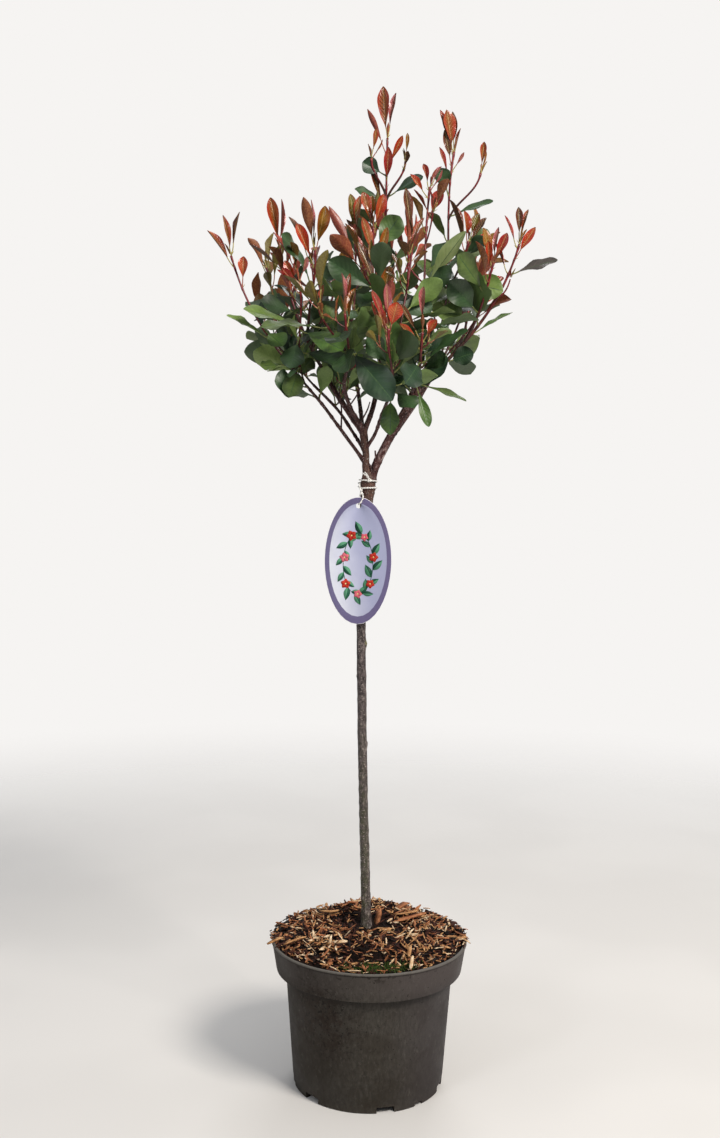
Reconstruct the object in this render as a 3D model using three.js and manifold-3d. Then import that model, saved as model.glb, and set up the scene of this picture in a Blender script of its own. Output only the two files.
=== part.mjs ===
// A potted little red robin photinia, grown as a small standard: a bare stem, a vase of boughs and an open crown
// of upright shoots, with dark green old leaves low on each shoot and red young ones at its tip.
// Units are millimetres, +Z is up, and the origin is the middle of the pot's flat underside. -Y is the front.

import * as THREE from "three";
import { mergeVertices } from "three/addons/utils/BufferGeometryUtils.js";
import Module from "manifold-3d";

const wasm = await Module();
wasm.setup();

// Driving dimensions

const GAP = 0.3; // the clearance between two pieces that touch
const ROUND = 32; // facets round the pot and its compost

const POT = {
  height: 140,
  rimRadius: 94.5,
  lip: 2, // height of the lip round the rim
  lipReach: 1, // how far the lip stands out from the band
  bandFoot: 112, // where the wide band under the rim begins
  bandFootRadius: 89.5,
  bodyTopRadius: 80.5,
  baseRadius: 72,
  wall: 2,
  floor: 3,
};

// The drain notches in the pot's bottom edge: how many a ring has, the first one's turn from the front in degrees,
// and each one's width, height and depth.
const NOTCHES = [
  { count: 6, first: 13, width: 17, height: 6, depth: 8 },
  { count: 3, first: 41, width: 9, height: 3, depth: 4 },
];

const COMPOST = {
  seat: 150, // height of the level patch under the trunk
  seatRadius: 11,
  shoulder: 152.5, // the mulch is highest in a ring round the trunk
  edge: 138.5, // its height at the pot's rim
  slopeStart: 40, // distance from the axis where it begins to fall away
  rings: [28, 50, 68, 82],
  lump: 2.4,
};

// Each row is [x, y, z, radius], from the flat cut on the compost to the fork that carries the upper boughs.
const TRUNK = [
  [-3, 0, COMPOST.seat, 6.3],
  [-3, 0, 159, 5.1],
  [-4, 0, 190, 4.7],
  [-7, 0, 275, 4.5],
  [-9.5, 0, 373, 4.5],
  [-11, 0, 470, 4.5],
  [-8, 0, 545, 5.5],
  [-6, 0, 576, 7.2],
  [-5.8, 0, 585, 6.2],
  [-8, 0, 594, 3.3],
  [-8.2, 0, 607, 2.9],
  [-9.4, 0, 619, 3.4],
  [-11, 0, 631, 3.6],
];
const TRUNK_SIDES = 8;

// Each bough is one tapering limb. Its path starts inside the limb that carries it and is cut clear of that limb.
const BOUGHS = {
  right_main: {
    path: [[-3, 0, 582], [1, 0, 596], [12, -1, 619], [24, -1, 641], [43, -2, 672], [62, -3, 691]],
    radii: [3.7, 2.5],
  },
  left_main: { path: [[-11, 0, 629], [-20, -1, 640], [-37, -2, 665], [-50, -2, 687]], radii: [3.7, 2.2] },
  centre: { path: [[-11, 1, 627], [-2, 12, 652], [4, 26, 684], [6, 32, 716]], radii: [3, 2] },
  front_left: { path: [[-13, -1, 634], [-23, -12, 650], [-29, -27, 669], [-26, -42, 684]], radii: [2.4, 1.7] },
  back: { path: [[-11, 1, 624], [-13, 22, 645], [-16, 42, 668], [-20, 60, 692]], radii: [2.6, 1.7] },
  left_low: { path: [[-9, 0, 600], [-32, -15, 630], [-48, -25, 651], [-61, -32, 666]], radii: [1.9, 1.4] },
  left_back: { path: [[-9.5, 0, 611], [-21, 11, 629], [-36, 25, 651], [-60, 45, 676]], radii: [1.9, 1.4] },
  front: { path: [[-9, 0, 612], [0, -8, 626], [6, -24, 643], [12, -40, 658]], radii: [1.9, 1.5] },
  right_back: { path: [[14, 0, 621], [27, 20, 639], [42, 40, 661], [58, 58, 688]], radii: [2.6, 1.6] },
  right_inner: { path: [[28, -1, 648], [32, -9, 659], [36, -18, 670]], radii: [2.3, 1.6] },
  right_upper: { path: [[42, -2, 670], [49, 5, 686], [55, 10, 702], [60, 13, 720]], radii: [2.4, 1.7] },
};
const BOUGH = { sides: 6, steps: 6, collar: 0.5, collarShare: 0.17 };

// The two kinds of leaf: old green ones low on a shoot, and young red ones round its tip.
// spread is the angle in degrees from the stem, opened more on the lowest leaf of a shoot and less on its highest.
// curl is the angle through which a blade bends back, roll how far it turns on its rib either way, and span the part
// of the shoot that carries such leaves.
// blade rows are [share of the length, share of the width], from the petiole to where the tip begins.
const LEAVES = {
  old: {
    petiole: 8, length: 40, width: 23, rib: 1.4,
    spread: 52, opening: [1.15, 0.8], curl: 20, roll: 45,
    blade: [[0.3, 0.84], [0.7, 0.94]], span: [0.08, 0.64],
  },
  young: {
    petiole: 6, length: 34, width: 17, rib: 1.2,
    spread: 24, opening: [1.9, 0.6], curl: 9, roll: 30,
    blade: [[0.5, 1]], span: [0.78, 0.99],
  },
};
const SIZE_SPREAD = 0.28; // a leaf's size varies by this share of the mean, up and down
const STALK = 0.35; // half a petiole's width at the stem
const TURN = 137.5; // degrees round the stem from one leaf to the next
const TRY_TURN = 47; // degrees to the next place, where a leaf has no room
const TRIES = 7;
const CLEAR = 5; // least distance between the sample points of two masses
const KIN_CLEAR = 2.6; // the same, within one mass
const NEARBY = 20; // solids whose sample points lie further apart than this can't touch

const SHOOT = { sides: 3, steps: 4, tipRadius: 1.2, sideShare: 0.8, setOff: 0.36, rise: 0.4, lean: 0.0022 };
const TWIG = { sides: 3, steps: 3, radii: [1.1, 0.9], span: [0.42, 0.84], length: [24, 40] };

// Each mass grows from the tip of one bough. Its first shoot carries the others: at is the share of the first
// shoot's length where the other leaves it, and tip is where the shoot's stem ends. old, young and twigs count what
// the shoot carries. shown lists the leaves that make the crown's outline, each with its place on the shoot, its tip,
// its width and, where it isn't the usual one, the way its upper face looks.
const MASSES = {
  left_low: [
    {
      tip: [-134, -25, 787], old: 2, young: 4, twigs: 0,
      shown: [
        { at: 0.01, tip: [-91, -50, 672], wide: 24, face: [0, -1, 0.4] },
        { at: 0.2, tip: [-105, -45, 686], wide: 17 },
        { at: 0.42, tip: [-135, -45, 732], wide: 14 },
        { at: 0.5, tip: [-84, -55, 703], wide: 20, face: [0.3, -1, 0.3] },
        { at: 0.93, tip: [-155, -25, 811], wide: 12, kind: "young" },
      ],
    },
    {
      at: 0.04, tip: [-70, -45, 760], old: 1, young: 4, twigs: 0,
      shown: [
        { at: 0.58, tip: [-119, -55, 737], wide: 21 },
        { at: 0.5, tip: [-78, -52, 683], wide: 23, face: [-0.2, -1, 0.2] },
        { at: 0.56, tip: [-30, -85, 698], wide: 25, face: [0.2, -1, 0.7] },
        { at: 0.34, tip: [-24, -68, 686], wide: 23, face: [0, -0.8, 1] },
      ],
    },
  ],
  left_main: [
    {
      tip: [-91, 3, 799], old: 4, young: 4, twigs: 1,
      shown: [{ at: 0.84, tip: [-118, -5, 803], wide: 11, kind: "young" }],
    },
    {
      at: 0.2, tip: [-58, -13, 798], old: 3, young: 5, twigs: 1,
      shown: [
        { at: 0.72, tip: [-41, -20, 794], wide: 14 },
        { at: 0.6, tip: [-38, -5, 784], wide: 19, face: [0, -1, 0.2] },
      ],
    },
    { at: 0.14, tip: [-40, 24, 776], old: 4, young: 4, twigs: 0 },
  ],
  front_left: [
    {
      tip: [-28, -88, 727], old: 1, young: 3, twigs: 0,
      shown: [{ at: 0.42, tip: [14, -105, 653], wide: 29, face: [0, -1, 0.6] }],
    },
    { at: 0.08, tip: [-20, -26, 801], old: 4, young: 4, twigs: 1 },
    { at: 0.2, tip: [-52, -74, 738], old: 3, young: 4, twigs: 0 },
  ],
  front: [
    {
      tip: [10, -98, 713], old: 1, young: 5, twigs: 1,
      shown: [
        { at: 0.08, tip: [13, -52, 624], wide: 19, face: [-0.4, -1, 0] },
        { at: 0.14, tip: [34, -72, 648], wide: 20, face: [0, -1, 0.8] },
        { at: 0.5, tip: [-8, -94, 706], wide: 20, face: [0, -1, 0.3] },
      ],
    },
    {
      at: 0.16, tip: [-4, -42, 811], old: 4, young: 6, twigs: 1,
      shown: [
        { at: 0.62, tip: [-43, -60, 778], wide: 24, face: [0, -1, 0.9] },
        { at: 0.86, tip: [20, -40, 822], wide: 23, face: [0, -1, 0.2] },
      ],
    },
    { at: 0.3, tip: [32, -52, 800], old: 4, young: 4, twigs: 1 },
  ],
  centre: [
    {
      tip: [9, 10, 904], old: 3, young: 4, twigs: 0, size: 0.8,
      shown: [
        { at: 0.84, tip: [-14, 2, 880], wide: 18, face: [0, -1, 0.2] },
        { at: 0.72, tip: [-21, 10, 858], wide: 13 },
        { at: 0.74, tip: [42, 2, 868], wide: 14 },
        { at: 0.98, tip: [3, 6, 951], wide: 13, kind: "young" },
      ],
    },
    { at: 0.72, tip: [26, 7, 882], old: 0, young: 2, twigs: 0, size: 0.6 },
    { at: 0.74, tip: [-6, 5, 884], old: 0, young: 2, twigs: 0, size: 0.6 },
    { at: 0.1, tip: [-14, 78, 820], old: 4, young: 5, twigs: 1 },
    { at: 0.16, tip: [34, 76, 812], old: 4, young: 5, twigs: 1 },
  ],
  right_inner: [
    {
      tip: [40, -82, 712], old: 2, young: 4, twigs: 0,
      shown: [
        { at: 0.05, tip: [50, -28, 633], wide: 12, face: [0, -1, 0.8] },
        { at: 0.06, tip: [84, -34, 658], wide: 15, face: [0, -0.4, 1] },
        { at: 0.5, tip: [80, -68, 718], wide: 21, face: [0, -0.7, 1] },
        { at: 0.25, tip: [62, -52, 697], wide: 18, face: [0.3, -1, 0.2] },
      ],
    },
    {
      at: 0.08, tip: [48, -20, 852], old: 4, young: 6, twigs: 2,
      shown: [
        { at: 0.5, tip: [77, -56, 806], wide: 18, face: [-0.6, -0.8, 0.4] },
        { at: 0.42, tip: [65, -50, 776], wide: 16, face: [-0.4, -1, 0.2] },
      ],
    },
  ],
  right_main: [
    {
      tip: [133, -5, 804], old: 1, young: 5, twigs: 1,
      shown: [
        { at: 0.03, tip: [91, -12, 703], wide: 19, face: [0, -1, 0.3] },
        { at: 0.3, tip: [128, 2, 744], wide: 14, face: [0, -0.4, 1] },
        { at: 0.8, tip: [168, -10, 791], wide: 17, face: [-0.2, -0.8, 0.8] },
      ],
    },
    {
      at: 0.22, tip: [106, -32, 781], old: 1, young: 5, twigs: 0,
      shown: [
        { at: 0.66, tip: [73, -58, 784], wide: 22, face: [-0.2, -1, 0.4] },
        { at: 0.4, tip: [66, -40, 764], wide: 25, face: [0, -1, 0.2] },
      ],
    },
    { at: 0.12, tip: [92, 34, 762], old: 3, young: 4, twigs: 0 },
  ],
  right_upper: [
    {
      tip: [72, 14, 893], old: 3, young: 5, twigs: 0, size: 0.85,
      shown: [
        { at: 0.78, tip: [59, 2, 875], wide: 16, face: [0, -1, 0.2] },
        { at: 0.68, tip: [109, 10, 849], wide: 14 },
        { at: 0.98, tip: [65, 8, 931], wide: 14, kind: "young" },
      ],
    },
    { at: 0.66, tip: [97, 8, 872], old: 0, young: 1, twigs: 0, size: 0.7 },
    {
      at: 0.2, tip: [84, -22, 803], old: 3, young: 5, twigs: 0,
      shown: [{ at: 0.72, tip: [97, -30, 806], wide: 14, face: [0, -1, 0.3] }],
    },
    { at: 0.12, tip: [98, 38, 806], old: 4, young: 5, twigs: 0 },
  ],
  right_back: [
    { tip: [98, 88, 792], old: 4, young: 5, twigs: 1 },
    { at: 0.16, tip: [60, 114, 778], old: 4, young: 5, twigs: 0 },
    { at: 0.08, tip: [106, 58, 762], old: 3, young: 4, twigs: 0 },
  ],
  back: [
    { tip: [-14, 116, 802], old: 4, young: 5, twigs: 1 },
    { at: 0.18, tip: [-58, 100, 786], old: 4, young: 5, twigs: 0 },
    { at: 0.12, tip: [24, 124, 756], old: 4, young: 4, twigs: 0 },
  ],
  left_back: [
    { tip: [-108, 62, 792], old: 4, young: 5, twigs: 1 },
    { at: 0.16, tip: [-88, 98, 752], old: 4, young: 5, twigs: 0 },
    { at: 0.08, tip: [-112, 36, 744], old: 3, young: 4, twigs: 0 },
  ],
};

const TAG = { centre: [-14.5, -13.1, 507], width: 63, height: 120, thick: 0.8, hole: 2.5, holeBelowTop: 8 };

// The string passes through the tag's hole, and both its strands wind once round the trunk.
const STRING = {
  radius: 0.8,
  sides: 5,
  loopAxis: [-6.2, 0],
  loopRadius: 8.8,
  loopPoints: 13,
  upper: { from: 10, to: 300, heights: [583, 581] }, // degrees from the front, towards the right
  lower: { from: -35, to: 285, heights: [575.5, 577] },
  knot: 1.9,
};

const COLOURS = {
  pot: { color: 0x4f504c, roughness: 0.62 },
  compost: { color: 0x5a3a26, roughness: 0.95 },
  bark: { color: 0x4b3b33, roughness: 0.85 },
  foliage: { color: 0x4a5634, roughness: 0.5 },
  tag: { color: 0xa9a3c8, roughness: 0.4 },
  string: { color: 0xf0efe9, roughness: 0.9 },
};

// Small helpers

const vec = (a) => new THREE.Vector3(...a);
const radians = THREE.MathUtils.degToRad;
const lerp = THREE.MathUtils.lerp;
const mix = ([low, high], share) => lerp(low, high, share);
const UP = vec([0, 0, 1]);

// A number from 0 to 1 that depends only on the whole-number keys, so each leaf's is the same in every build.
function chance(...keys) {
  let h = 2166136261;
  for (const key of keys) {
    h = Math.imul(h ^ key, 16777619) >>> 0;
    h = Math.imul(h ^ (h >>> 13), 1540483477) >>> 0;
    h = (h ^ (h >>> 15)) >>> 0;
  }
  return h / 4294967296;
}

// A vector with its share along a unit direction taken out.
function squared(v, direction) {
  return v.clone().addScaledVector(direction, -v.dot(direction)).normalize();
}

// The unit vector that leaves a stem at a turn round it.
function outOf(tangent, turn) {
  const e1 = squared(vec([1, 0, 0]), tangent);
  const e2 = new THREE.Vector3().crossVectors(tangent, e1);
  return e1.multiplyScalar(Math.cos(turn)).addScaledVector(e2, Math.sin(turn));
}

// Solids

// A closed geometry as a solid, with its shared vertices merged and its faces turned outwards.
function solidOf(geometry) {
  const bare = geometry.clone();
  bare.deleteAttribute("normal");
  bare.deleteAttribute("uv");
  const merged = mergeVertices(bare, 1e-4);
  const index = merged.index.array;
  const faces = [];
  for (let i = 0; i < index.length; i += 3) {
    const [a, b, c] = index.slice(i, i + 3);
    if (a !== b && b !== c && c !== a) faces.push([a, b, c]);
  }
  const make = (list) =>
    new wasm.Manifold(
      new wasm.Mesh({
        numProp: 3,
        vertProperties: merged.attributes.position.array,
        triVerts: new Uint32Array(list.flat()),
      }),
    );
  const made = make(faces);
  return made.volume() < 0 ? make(faces.map(([a, b, c]) => [a, c, b])) : made;
}

function geometryOf(solid) {
  const mesh = solid.getMesh();
  const positions = new Float32Array(mesh.numVert * 3);
  for (let i = 0; i < mesh.numVert; i++) {
    positions.set(mesh.vertProperties.subarray(i * mesh.numProp, i * mesh.numProp + 3), i * 3);
  }
  return new THREE.BufferGeometry()
    .setAttribute("position", new THREE.BufferAttribute(positions, 3))
    .setIndex(new THREE.BufferAttribute(mesh.triVerts, 1));
}

// The largest body of a solid. A hollow that a join seals and a scrap that a cut leaves are bodies of their own.
function mainBody(solid) {
  return solid.decompose().reduce((a, b) => (a.volume() > b.volume() ? a : b));
}

function fuse(solids) {
  return mainBody(wasm.Manifold.union(solids).simplify(0.01));
}

// The skin over a row of rings with the same number of points, closed by flat caps or by a tip.
function skin(rings, tip) {
  const n = rings[0].length;
  const points = rings.flat();
  const faces = [];
  for (let r = 0; r + 1 < rings.length; r++) {
    for (let i = 0; i < n; i++) {
      const [a, b] = [r * n + i, r * n + ((i + 1) % n)];
      faces.push([a, b, b + n], [a, b + n, a + n]);
    }
  }
  for (let i = 1; i + 1 < n; i++) faces.push([0, i + 1, i]);
  const last = (rings.length - 1) * n;
  if (tip) {
    points.push(tip);
    for (let i = 0; i < n; i++) faces.push([last + i, last + ((i + 1) % n), points.length - 1]);
  } else {
    for (let i = 1; i + 1 < n; i++) faces.push([last, last + i, last + i + 1]);
  }
  return solidOf(new THREE.BufferGeometry().setFromPoints(points).setIndex(faces.flat()));
}

// A tapering round limb along a curve. radius gives its radius at each share of the way.
function limb(curve, radius, sides, steps, grow = 0) {
  const rings = [];
  let e1 = vec([1, 0, 0]);
  for (let i = 0; i <= steps; i++) {
    const u = i / steps;
    const centre = curve.getPoint(u);
    const tangent = curve.getTangent(u);
    e1 = squared(e1, tangent);
    const e2 = new THREE.Vector3().crossVectors(tangent, e1);
    const reach = radius(u) + grow;
    const corner = (turn) =>
      centre.clone().addScaledVector(e1, Math.cos(turn) * reach).addScaledVector(e2, Math.sin(turn) * reach);
    rings.push(Array.from({ length: sides }, (_, k) => corner((2 * Math.PI * k) / sides)));
  }
  return skin(rings);
}

// Pot and compost

// A profile of [radius, height] rows turned round the Z axis.
function turned(profile) {
  const points = profile.map(([r, z]) => new THREE.Vector2(r, z));
  return solidOf(new THREE.LatheGeometry(points, ROUND).rotateX(Math.PI / 2));
}

// The inside of the pot, from its floor to its rim.
function potInside() {
  const p = POT;
  return [
    [p.baseRadius - p.wall, p.floor],
    [p.bodyTopRadius - p.wall, p.bandFoot + p.wall],
    [p.bandFootRadius - p.wall, p.bandFoot + p.wall + 1],
    [p.rimRadius - p.lipReach - p.wall, p.height],
  ];
}

function pot() {
  const p = POT;
  let shell = turned([
    [0, 0],
    [p.baseRadius, 0],
    [p.bodyTopRadius, p.bandFoot],
    [p.bandFootRadius, p.bandFoot + 1],
    [p.rimRadius - p.lipReach, p.height - p.lip - 1],
    [p.rimRadius, p.height - p.lip],
    [p.rimRadius, p.height],
    ...potInside().reverse(),
    [0, p.floor],
  ]);
  for (const notch of NOTCHES) {
    for (let i = 0; i < notch.count; i++) {
      const box = new THREE.BoxGeometry(notch.width, 2 * notch.depth, 2 * notch.height)
        .translate(0, -p.baseRadius, 0)
        .rotateZ(radians(notch.first + (360 * i) / notch.count));
      shell = shell.subtract(solidOf(box));
    }
  }
  return shell;
}

function compost() {
  const c = COMPOST;
  const ring = (radius, height) =>
    Array.from({ length: ROUND }, (_, k) => {
      const turn = (2 * Math.PI * k) / ROUND;
      return vec([radius * Math.cos(turn), radius * Math.sin(turn), height(k)]);
    });
  const wall = potInside().map(([r, z]) => [r - GAP, z + (z === POT.floor ? GAP : 0)]);
  const [bandFoot, rim] = wall.slice(2);
  const edgeRadius = lerp(bandFoot[0], rim[0], (c.edge - bandFoot[1]) / (rim[1] - bandFoot[1]));
  const fall = (r) => lerp(c.shoulder, c.edge, THREE.MathUtils.smoothstep(r, c.slopeStart, POT.rimRadius));
  const lumpy = c.rings.map((r, i) => ring(r, (k) => fall(r) + c.lump * (chance(i, k) - 0.5)));
  return skin([
    ...wall.slice(0, 3).map(([r, z]) => ring(r, () => z)),
    ring(edgeRadius, () => c.edge),
    ...lumpy.reverse(),
    ring(c.seatRadius, () => c.seat),
  ]);
}

// Trunk and boughs

const trunkCurve = new THREE.CatmullRomCurve3(TRUNK.map((row) => vec(row)), false, "catmullrom");

function trunkRadius(u) {
  const at = u * (TRUNK.length - 1);
  const row = Math.min(Math.floor(at), TRUNK.length - 2);
  return lerp(TRUNK[row][3], TRUNK[row + 1][3], at - row);
}

function trunk(grow = 0) {
  return limb(trunkCurve, trunkRadius, TRUNK_SIDES, 2 * (TRUNK.length - 1), grow);
}

function boughCurve(name) {
  return new THREE.CatmullRomCurve3(BOUGHS[name].path.map(vec), false, "catmullrom");
}

// A bough tapers from its foot, where it swells into a collar.
function boughSolid(name, grow = 0) {
  const collar = (u) => BOUGH.collar * Math.max(0, 1 - u / BOUGH.collarShare);
  const radius = (u) => mix(BOUGHS[name].radii, Math.sqrt(u)) + collar(u);
  return limb(boughCurve(name), radius, BOUGH.sides, BOUGH.steps, grow);
}

// Each bough is cut clear of the trunk and of the boughs before it.
function boughBodies() {
  const bodies = new Map();
  let carriers = trunk(GAP);
  for (const name of Object.keys(BOUGHS)) {
    bodies.set(name, mainBody(boughSolid(name).subtract(carriers)));
    carriers = carriers.add(boughSolid(name, GAP));
  }
  return bodies;
}

// Shoots

// A shoot's stem sets out along a heading and turns up towards its tip.
function shootCurve(start, heading, tip) {
  const reach = start.distanceTo(tip);
  const rise = vec([tip.x * SHOOT.lean, tip.y * SHOOT.lean, 1]).normalize();
  return new THREE.CubicBezierCurve3(
    start,
    start.clone().addScaledVector(heading, reach * SHOOT.setOff),
    tip.clone().addScaledVector(rise, -reach * SHOOT.rise),
    tip,
  );
}

// The stems of a mass: the first shoot grows on from the bough's tip, and the others branch from it.
function shootsOf(mass, index) {
  const bough = boughCurve(mass);
  const foot = BOUGHS[mass].radii[1];
  const stems = [];
  for (const [i, row] of MASSES[mass].entries()) {
    const tip = vec(row.tip);
    const carrier = i === 0 ? bough : stems[0].curve;
    const at = i === 0 ? 1 : row.at;
    const start = carrier.getPoint(at);
    const heading = carrier.getTangent(at);
    if (i === 0) start.addScaledVector(heading, GAP);
    else heading.add(tip.clone().sub(start).normalize()).normalize();
    const curve = shootCurve(start, heading, tip);
    const radii = [i === 0 ? foot : foot * SHOOT.sideShare, SHOOT.tipRadius];
    stems.push({ mass, curve, radii, row, seed: index * 10 + i, sides: SHOOT.sides, steps: SHOOT.steps });
  }
  return stems;
}

// The short side twigs of a shoot, each with a few young leaves.
function twigsOf({ mass, curve, row, seed }) {
  return Array.from({ length: row.twigs }, (_, k) => {
    const u = mix(TWIG.span, (k + 0.5) / row.twigs);
    const tangent = curve.getTangent(u);
    const out = outOf(tangent, radians(TURN * k + 360 * chance(seed, 7) + 70));
    const reach = mix(TWIG.length, chance(seed, 8, k));
    const root = curve.getPoint(u);
    const tip = root.clone().addScaledVector(out, reach * 0.5).addScaledVector(UP, reach * 0.85);
    const twig = shootCurve(root, out.add(tangent).normalize(), tip);
    const carried = { old: 0, young: 2 };
    const twigSeed = seed * 10 + k + 5000;
    return { mass, curve: twig, radii: TWIG.radii, row: carried, seed: twigSeed, sides: TWIG.sides, steps: TWIG.steps };
  });
}

function stemSolid({ curve, radii, sides, steps }) {
  return limb(curve, (u) => mix(radii, u), sides, steps);
}

// Leaves

// A leaf by the rule: share runs from 0 on the lowest leaf of its kind on the stem to 1 on the highest.
function ruleLeaf(stem, kind, share, turn, seed) {
  const form = LEAVES[kind];
  const size = (stem.row.size ?? 1) * (1 + SIZE_SPREAD * (2 * chance(seed, 1) - 1));
  const at = mix(form.span, share);
  const tangent = stem.curve.getTangent(at);
  const out = outOf(tangent, turn);
  const spread = radians(form.spread * mix(form.opening, share) * (0.75 + 0.5 * chance(seed, 2)));
  const axis = tangent.clone().multiplyScalar(Math.cos(spread)).addScaledVector(out, Math.sin(spread));
  const face = tangent.multiplyScalar(Math.sin(spread)).addScaledVector(out, -Math.cos(spread));
  const roll = radians(form.roll * (2 * chance(seed, 9) - 1));
  return {
    kind,
    root: stem.curve.getPoint(at),
    axis,
    face: face.applyAxisAngle(axis, roll),
    petiole: form.petiole * size,
    length: form.length * size,
    width: form.width * size * (0.9 + 0.2 * chance(seed, 3)),
    curl: radians(form.curl * (0.3 + 1.4 * chance(seed, 4))),
  };
}

// A leaf of the outline, which reaches from its place on the stem to its given tip.
function shownLeaf(stem, { at, tip, wide, face = [0, -0.5, 1], kind = "old" }) {
  const root = stem.curve.getPoint(at);
  const axis = vec(tip).sub(root);
  const reach = axis.length();
  const petiole = Math.min(LEAVES[kind].petiole, reach / 4);
  axis.normalize();
  return { kind, root, axis, face: squared(vec(face), axis), petiole, length: reach - petiole, width: wide, curl: 0.1 };
}

// The middle line of a leaf at a share of the blade's length, with the blade's own side and upper face there.
function leafSpine({ root, axis, face, petiole, length, curl }, share) {
  const side = new THREE.Vector3().crossVectors(axis, face);
  const bend = curl * share;
  const forward = petiole + (length * Math.sin(bend)) / curl;
  const down = (length * (1 - Math.cos(bend))) / curl;
  return {
    point: root.clone().addScaledVector(axis, forward).addScaledVector(face, -down),
    side,
    normal: face.clone().multiplyScalar(Math.cos(bend)).addScaledVector(axis, Math.sin(bend)),
  };
}

// A thin three-sided ring across a leaf: its two edges, and the rib under them.
function leafRing({ point, side, normal }, halfWidth, rib) {
  return [
    point.clone().addScaledVector(side, -halfWidth),
    point.clone().addScaledVector(normal, -rib),
    point.clone().addScaledVector(side, halfWidth),
  ];
}

// The petiole starts in the stem's middle, so that the leaf's root is sunk well in.
function leafSolid(leaf) {
  const form = LEAVES[leaf.kind];
  const rings = [leafRing({ ...leafSpine(leaf, 0), point: leaf.root }, STALK, STALK)];
  for (const [share, wide] of form.blade) {
    rings.push(leafRing(leafSpine(leaf, share), (wide * leaf.width) / 2, form.rib));
  }
  return skin(rings, leafSpine(leaf, 1).point);
}

// Points spread over a leaf's blade, which stand for it when leaves are kept apart.
function leafSamples(leaf) {
  const samples = [];
  for (const share of [0.1, 0.28, 0.46, 0.64, 0.82, 0.97]) {
    const { point, side } = leafSpine(leaf, share);
    const half = 0.4 * leaf.width * Math.sin(Math.PI * (0.12 + 0.76 * share));
    for (const across of [-half, 0, half]) samples.push(point.clone().addScaledVector(side, across));
  }
  return samples;
}

// Room in the crown

// What stands already: rows of { mass, stem, points, centre, reach, solid }. Only a mass's own pieces name a mass,
// and only the row of a stem itself names a stem.
const standing = [];

function boundsOf(points) {
  const centre = points.reduce((sum, p) => sum.add(p), vec([0, 0, 0])).divideScalar(points.length);
  return { centre, reach: Math.max(...points.map((p) => p.distanceTo(centre))) };
}

function claim(mass, stem, points, solid) {
  standing.push({ mass, stem, points, solid, ...boundsOf(points) });
}

// A stem's sample points lie along its curve.
function claimCurve(mass, stem, curve, solid) {
  const points = Array.from({ length: 33 }, (_, i) => curve.getPoint(i / 32));
  claim(mass, stem, points, solid);
}

function isFree(stem, points) {
  const own = boundsOf(points);
  return standing.every((other) => {
    if (other.stem === stem) return true;
    const clear = other.mass === stem.mass ? KIN_CLEAR : CLEAR;
    if (other.centre.distanceTo(own.centre) > other.reach + own.reach + clear) return true;
    return points.every((p) => other.points.every((q) => p.distanceToSquared(q) > clear ** 2));
  });
}

// Whether a solid keeps the clearance to everything outside its own mass.
function isClear(stem, solid, points) {
  const own = boundsOf(points);
  return standing.every(
    (other) =>
      other.mass === stem.mass ||
      other.centre.distanceTo(own.centre) > other.reach + own.reach + NEARBY ||
      solid.minGap(other.solid, 1) >= GAP,
  );
}

// Adds a leaf to its mass if it keeps to its own space.
function place(stem, leaf, mustBeFree, solids) {
  const points = leafSamples(leaf);
  if (mustBeFree && !isFree(stem, points)) return false;
  const solid = leafSolid(leaf);
  if (!isClear(stem, solid, points)) return false;
  claim(stem.mass, null, points, solid);
  solids.get(stem.mass).push(solid);
  return true;
}

// The leaves of one kind on one stem. Each is tried round the stem until it finds room.
function placeByRule(stem, kind, solids) {
  const count = stem.row[kind];
  for (let k = 0; k < count; k++) {
    const key = stem.seed * 100 + k + (kind === "old" ? 50 : 0);
    const share = (k + 0.6 * chance(key, 5)) / Math.max(1, count - 0.4);
    const start = TURN * k + 360 * chance(stem.seed, 6);
    for (let t = 0; t < TRIES; t++) {
      const leaf = ruleLeaf(stem, kind, share, radians(start + TRY_TURN * t), key);
      if (place(stem, leaf, true, solids)) break;
    }
  }
}

function foliage(boughs) {
  const masses = Object.keys(MASSES);
  const stems = masses.flatMap((mass, index) => {
    const shoots = shootsOf(mass, index);
    return [...shoots, ...shoots.flatMap(twigsOf)];
  });
  const solids = new Map(masses.map((mass) => [mass, []]));
  claimCurve(null, null, trunkCurve, trunk());
  for (const [name, body] of boughs) claimCurve(null, null, boughCurve(name), body);
  for (const stem of stems) {
    const solid = stemSolid(stem);
    solids.get(stem.mass).push(solid);
    claimCurve(stem.mass, stem, stem.curve, solid);
  }
  for (const stem of stems) {
    for (const row of stem.row.shown ?? []) place(stem, shownLeaf(stem, row), false, solids);
  }
  for (const kind of ["young", "old"]) {
    for (const stem of stems) placeByRule(stem, kind, solids);
  }
  return new Map(masses.map((mass) => [mass, fuse(solids.get(mass))]));
}

// Tag and string

function tag() {
  const t = TAG;
  const plate = new THREE.Shape().absellipse(0, 0, t.width / 2, t.height / 2, 0, 2 * Math.PI);
  plate.holes.push(new THREE.Path().absarc(0, t.height / 2 - t.holeBelowTop, t.hole, 0, 2 * Math.PI));
  return new THREE.ExtrudeGeometry(plate, { depth: t.thick, bevelEnabled: false, curveSegments: 16 })
    .rotateX(Math.PI / 2)
    .translate(...t.centre);
}

function stringLoop({ from, to, heights }) {
  const [x, y] = STRING.loopAxis;
  return Array.from({ length: STRING.loopPoints }, (_, i) => {
    const share = i / (STRING.loopPoints - 1);
    const turn = radians(lerp(from, to, share));
    return [x + STRING.loopRadius * Math.sin(turn), y - STRING.loopRadius * Math.cos(turn), mix(heights, share)];
  });
}

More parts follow.
